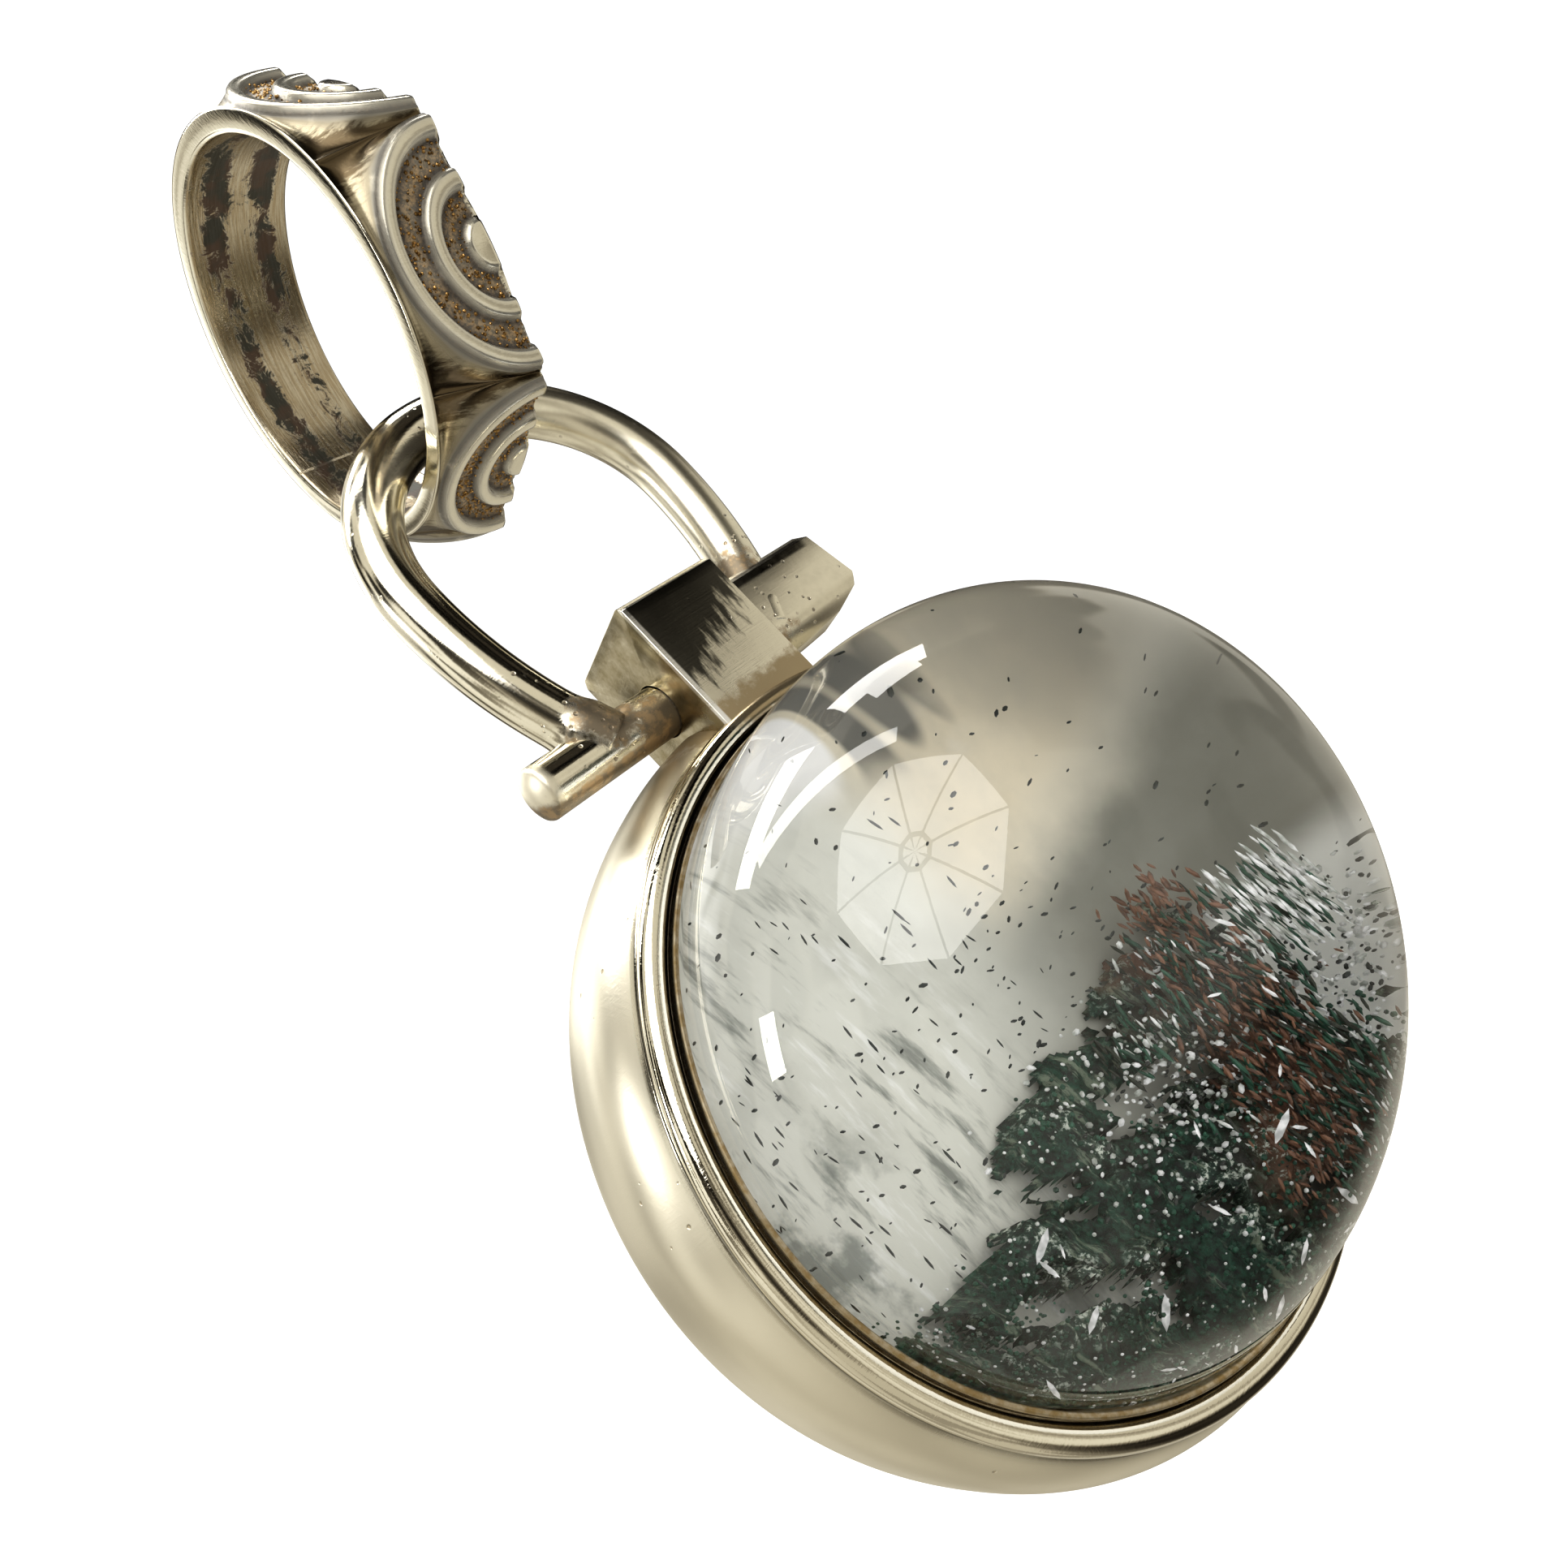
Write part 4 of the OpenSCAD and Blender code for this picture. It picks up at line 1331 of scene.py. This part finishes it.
def dome_mesh(glass, foot):
    """The leaning dome over its short cylinder, closed by the frosted foot."""
    rise = [(STONE_R * math.cos(t), DOME_FOOT + DOME_H * math.sin(t), math.sin(t))
            for t in np.linspace(0, math.pi / 2, DOME_RINGS)]
    side = [(STONE_R, y, 0) for y in np.linspace(FOOT_EDGE - FOOT_DEPTH, DOME_FOOT, 8)[:-1]]
    rows = [(0, -FOOT_DEPTH, 0), (STONE_R - FOOT_EDGE, -FOOT_DEPTH, 0)] + side + rise
    spoke = full_turn(DOME_SPOKES)
    points = np.concatenate([
        as_points(r * np.cos(spoke) + share * DOME_LEAN[0] + RIM.x, np.full(DOME_SPOKES, RIM.y - front),
                  r * np.sin(spoke) + share * DOME_LEAN[1] + RIM.z) for r, front, share in rows])
    dome = make_piece("quartz_dome", points, ring_faces(len(rows), DOME_SPOKES), [glass, foot])
    for face in dome.data.polygons:
        on_foot = face.center.y > (RIM.y + FOOT_DEPTH - 0.001) * MM
        face.material_index = 1 if on_foot else 0
        face.use_smooth = not on_foot
    return dome


def front_grid(half, cells):
    """A square grid of places seen from the front."""
    line = np.linspace(-half, half, cells)
    return np.meshgrid(line, line)


def garden_cover(x, z):
    """How thick the garden grows, from 0 to 1: broken clumps above, a closed band at the bottom."""
    inside = np.interp(x, *zip(*GARDEN_EDGE)) - z + 3.0 * (rough(x, z, 2.0, 3) - 0.5)
    along, beside = (x - 0.5 * z) / 1.6, (z + 0.5 * x) / 0.8
    clumps = rough(beside, along, 1.1, 71, 5)
    band = step(8.4, 9.6, np.hypot(x, z)) * step(-1.5, -3.5, z)
    return step(-0.3, 0.7, inside) * np.maximum(band, step(0.44, 0.52, clumps + 0.035 * inside))


def garden_mesh(material):
    """A lumpy bed of mossy inclusions low in the stone."""
    x, z = front_grid(GARDEN_R, GARDEN_CELLS)
    cover = garden_cover(x, z)
    lumps = rough(x, z, 1.5, 21, 5)
    grains = rough(x, z, 0.3, 31, 2)
    grooves = rough(x, z, 0.5, 41, 3)
    combed = lattice((x + NOISE_SHIFT) / COMB_W, (z + NOISE_SHIFT) / COMB_L, 43)
    fibres = step(0.0, 3.0, x + 0.4 * z)
    ridges = grains * (1 - fibres) + combed * fibres
    height = cover * (0.15 + 1.5 * lumps * step(1.5, -6, z) + 0.35 * ridges)
    points = as_points(x + RIM.x, RIM.y + (FOOT_DEPTH - 0.03 - height), z + RIM.z)
    open_ground = (x > 5.6 + rough(x, z, 0.9, 47)) & (z > -7.2) & (rough(x, z, 0.5, 49) > 0.35)
    keep = (cover > 0.04) & (np.hypot(x, z) < GARDEN_R) & ~open_ground
    rust = np.clip(1.3 * rust_field(x, z) + 0.5 * fibres * step(0.5, 0.7, grooves), 0, 1)
    pale = step(0.55, 0.75, lumps) * (1 - fibres) + step(6.6, 7.6, x) + 0.6 * combed * fibres
    fields = {"rust": rust.ravel(), "pale": np.clip(pale, 0, 1).ravel()}
    return make_piece("garden_bed", points, kept_faces(keep), [material], fields)


def sown_disc(name, front, thick):
    """A flat carrier inside the stone, parallel to its foot, whose field says where things are sown."""
    x, z = front_grid(DISC_HALF, DISC_CELLS)
    points = as_points(x + RIM.x, np.full_like(x, RIM.y - front), z + RIM.z)
    field = thick(x, z) * (np.hypot(x, z) < DISC_R)
    return make_piece(name, points, kept_faces(np.ones_like(x, bool)), [], {"thick": field.ravel()})


def speck_field(x, z):
    """Dark specks lie mostly over the clear left and middle of the stone, in loose clouds."""
    clouds = step(0.45, 0.75, rough(x, z, 2.6, 51))
    middle = oval_bell(x, z, (0.3, -0.3), (4.5, 2.6))
    return np.clip((0.12 + 0.9 * clouds * middle + 0.25 * middle) * (1 - garden_cover(x, z)), 0, 1)


def dash_field(x, z):
    """Short dark dashes in the clear left part."""
    return step(0.5, 0.7, rough(x, z, 2.0, 81)) * step(2.0, -2.0, x) * (1 - garden_cover(x, z))


def salt_field(x, z):
    """White and black granules at the garden's right end and in a belt over its middle."""
    right = step(5.2, 6.0, x) * step(-1.8, -2.6, z) * step(-7.5, -6.5, z)
    belt = 0.8 * oval_bell(x, z, (1.5, -3.6), (2.5, 1.8))
    return np.clip(right * step(0.3, 0.6, rough(x, z, 1.0, 91)) + belt, 0, 1)


def moss_field(x, z):
    """Loose green grains over the garden, thinning out past its edge."""
    return garden_cover(x, z) * step(0.3, 0.65, rough(x, z, 1.2, 61)) * (1 - step(3.4, 5.0, x + 0.4 * z))


def rust_field(x, z):
    """A terracotta streak down the right half of the garden."""
    line = np.interp(-z, *RUST_LINE) + 1.2 * (rough(x, z, 1.5, 97) - 0.5)
    return bell(x - line, np.interp(-z, *RUST_W)) * step(0.8, 0.0, z) * step(-8.0, -6.0, z)


def stripe_field(x, z):
    """Pale stripes above the streak."""
    rows = step(0.2, 0.6, np.cos((x - 0.12 * (z + 2) ** 2) * 2 * math.pi / STRIPE_PITCH))
    return rows * step(5.3, 5.7, x) * step(8.0, 7.4, x) * step(-0.5, -0.9, z) * step(-3.2, -2.7, z)


def green_field(x, z):
    """Green stripes between the pale ones."""
    return stripe_field(x + STRIPE_PITCH / 2, z)


def fibre_field(x, z):
    """Long fibres on the right of the garden."""
    clumps = step(0.3, 0.55, rough(x, z, 0.8, 99, squash=0.5))
    return garden_cover(x, z) * step(-1.5, 2.5, x + 0.4 * z) * (0.15 + 0.85 * clumps) * step(6.4, 5.0, x)


# Name, height over the rim (mm), field, finish, grains per square metre, seed, size as a share of the
# largest speck, stretch, turn, drift towards the front and back (mm)
SOWINGS = [
    ("specks_deep", -1.6, speck_field, "speck_ink", 5.5e6, 7, 1, (1.8, 0.6, 0.8), (0.4, 0.5, 0.4), 0.5),
    ("specks_high", 1.5, speck_field, "speck_ink", 2.0e6, 8, 0.8, (2.2, 0.5, 0.6), (0.5, 0.6, 0.3), 1.6),
    ("dashes", -0.5, dash_field, "speck_ink", 1.6e6, 16, 1, (0.6, 0.5, 3.2), (0.3, 0.3, 0.2), 1.6),
    ("moss_grains", -1.3, moss_field, "moss_grain", 4.5e7, 9, 1.2, (1, 1, 1), (3, 3, 3), 0.9),
    ("pale_grains", -0.9, moss_field, "pale_grain", 8.0e6, 10, 0.9, (1, 1, 1), (3, 3, 3), 0.7),
    ("rust_fibres", -0.7, rust_field, "rust_fibre", 4.2e7, 12, 0.95, (1, 1, 3.5), (0.5, 0.5, 0.5), 0.8),
    ("dark_fibres", -1.0, fibre_field, "dark_fibre", 2.2e7, 13, 0.9, (1, 1, 5), (0.45, 0.4, 0.4), 0.8),
    ("pale_fibres", -0.8, fibre_field, "pale_grain", 9.0e6, 14, 0.7, (1, 1, 4.5), (0.45, 0.4, 0.4), 0.8),
    ("green_fibres", -0.7, fibre_field, "moss_grain", 2.0e7, 20, 0.95, (1, 1, 5), (0.45, 0.4, 0.4), 0.8),
    ("stripes", -0.3, stripe_field, "pale_grain", 7.0e7, 21, 0.8, (1, 1, 6), (0.1, 0.1, 0), 0.3),
    ("green_stripes", -0.4, green_field, "moss_grain", 7.0e7, 22, 0.8, (1, 1, 6), (0.1, 0.1, 0), 0.3),
    ("salt", -1.2, salt_field, "pale_grain", 3.0e7, 17, 1.1, (1, 1, 1.6), (3, 3, 3), 0.6),
    ("pepper", -0.8, salt_field, "speck_ink", 1.6e7, 18, 0.9, (1, 1, 1.8), (3, 3, 3), 0.6),
    # White flakes whose colour paints glints in the quartz
    ("flakes", 0.2, moss_field, "glint_flake", 7.0e5, 19, 4, (0.4, 0.1, 1.6), (0.5, 1.2, 0.5), 1.2),
]


class PENDANT_OT_stone(bpy.types.Operator):
    """Build the quartz dome and the garden inside it"""
    bl_idname = "pendant.stone"
    bl_label = "Stone"

    def execute(self, context):
        finish, details = context.scene.pendant_finishes, context.scene.pendant_details
        dress(dome_mesh(quartz_glass(finish), frosted_foot_and_reflection(finish)), "drop", "quartz", "stone")
        dress(garden_mesh(moss_stone(finish)), "drop", "quartz")
        kinds = [("speck_ink", INK, 0.4), ("moss_grain", shaded(finish.moss, 1.3), 0.5),
                 ("pale_grain", CHALK, 0.5), ("rust_fibre", tuple(finish.rust), 0.45),
                 ("dark_fibre", FIBRE_BLACK, 0.45), ("glint_flake", FLAKE_GLINT, 0.3)]
        materials = {row[0]: plain_finish(*row) for row in kinds}
        tree = scatter_tree("sown_grains")
        for name, front, field, kind, density, seed, share, stretch, turn, drift in SOWINGS:
            carrier = sown_disc(name + "_carrier", front, field)
            drifts = (SIDE_DRIFT * MM, drift * MM, SIDE_DRIFT * MM)
            sown = scatter(name, carrier, tree, details.speck * share, Density=density, Seed=seed,
                           Stretch=stretch, Turn=turn, Drift=drifts, Material=materials[kind])
            bpy.data.objects.remove(carrier)
            dress(sown, "drop", "quartz")
        return {"FINISHED"}


class PENDANT_PT_panel(bpy.types.Panel):
    """Lists the pendant's pieces in the sidebar"""
    bl_idname = "PENDANT_PT_panel"
    bl_label = "Quartz pendant"
    bl_space_type = "VIEW_3D"
    bl_region_type = "UI"
    bl_category = "Pendant"

    def draw(self, context):
        for operator in STEPS:
            self.layout.operator(operator.bl_idname)
        for group in GROUPS:
            settings = getattr(context.scene, group)
            box = self.layout.box()
            for key in settings.__annotations__:
                box.prop(settings, key)


STEPS = (PENDANT_OT_stage, PENDANT_OT_bail, PENDANT_OT_loop, PENDANT_OT_setting, PENDANT_OT_stone)
GROUPS = {
    "pendant_finishes": PendantFinishes,
    "pendant_details": PendantDetails,
    "pendant_studio": PendantStudio,
}


def register():
    for item in (*GROUPS.values(), *STEPS, PENDANT_PT_panel):
        bpy.utils.register_class(item)
    for key, group in GROUPS.items():
        setattr(bpy.types.Scene, key, bpy.props.PointerProperty(type=group))


def unregister():
    for key in GROUPS:
        delattr(bpy.types.Scene, key)
    for item in reversed((*GROUPS.values(), *STEPS, PENDANT_PT_panel)):
        bpy.utils.unregister_class(item)


def main():
    """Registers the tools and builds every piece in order."""
    register()
    for operator in STEPS:
        group, name = operator.bl_idname.split(".")
        getattr(getattr(bpy.ops, group), name)()


if __name__ == "__main__":
    main()
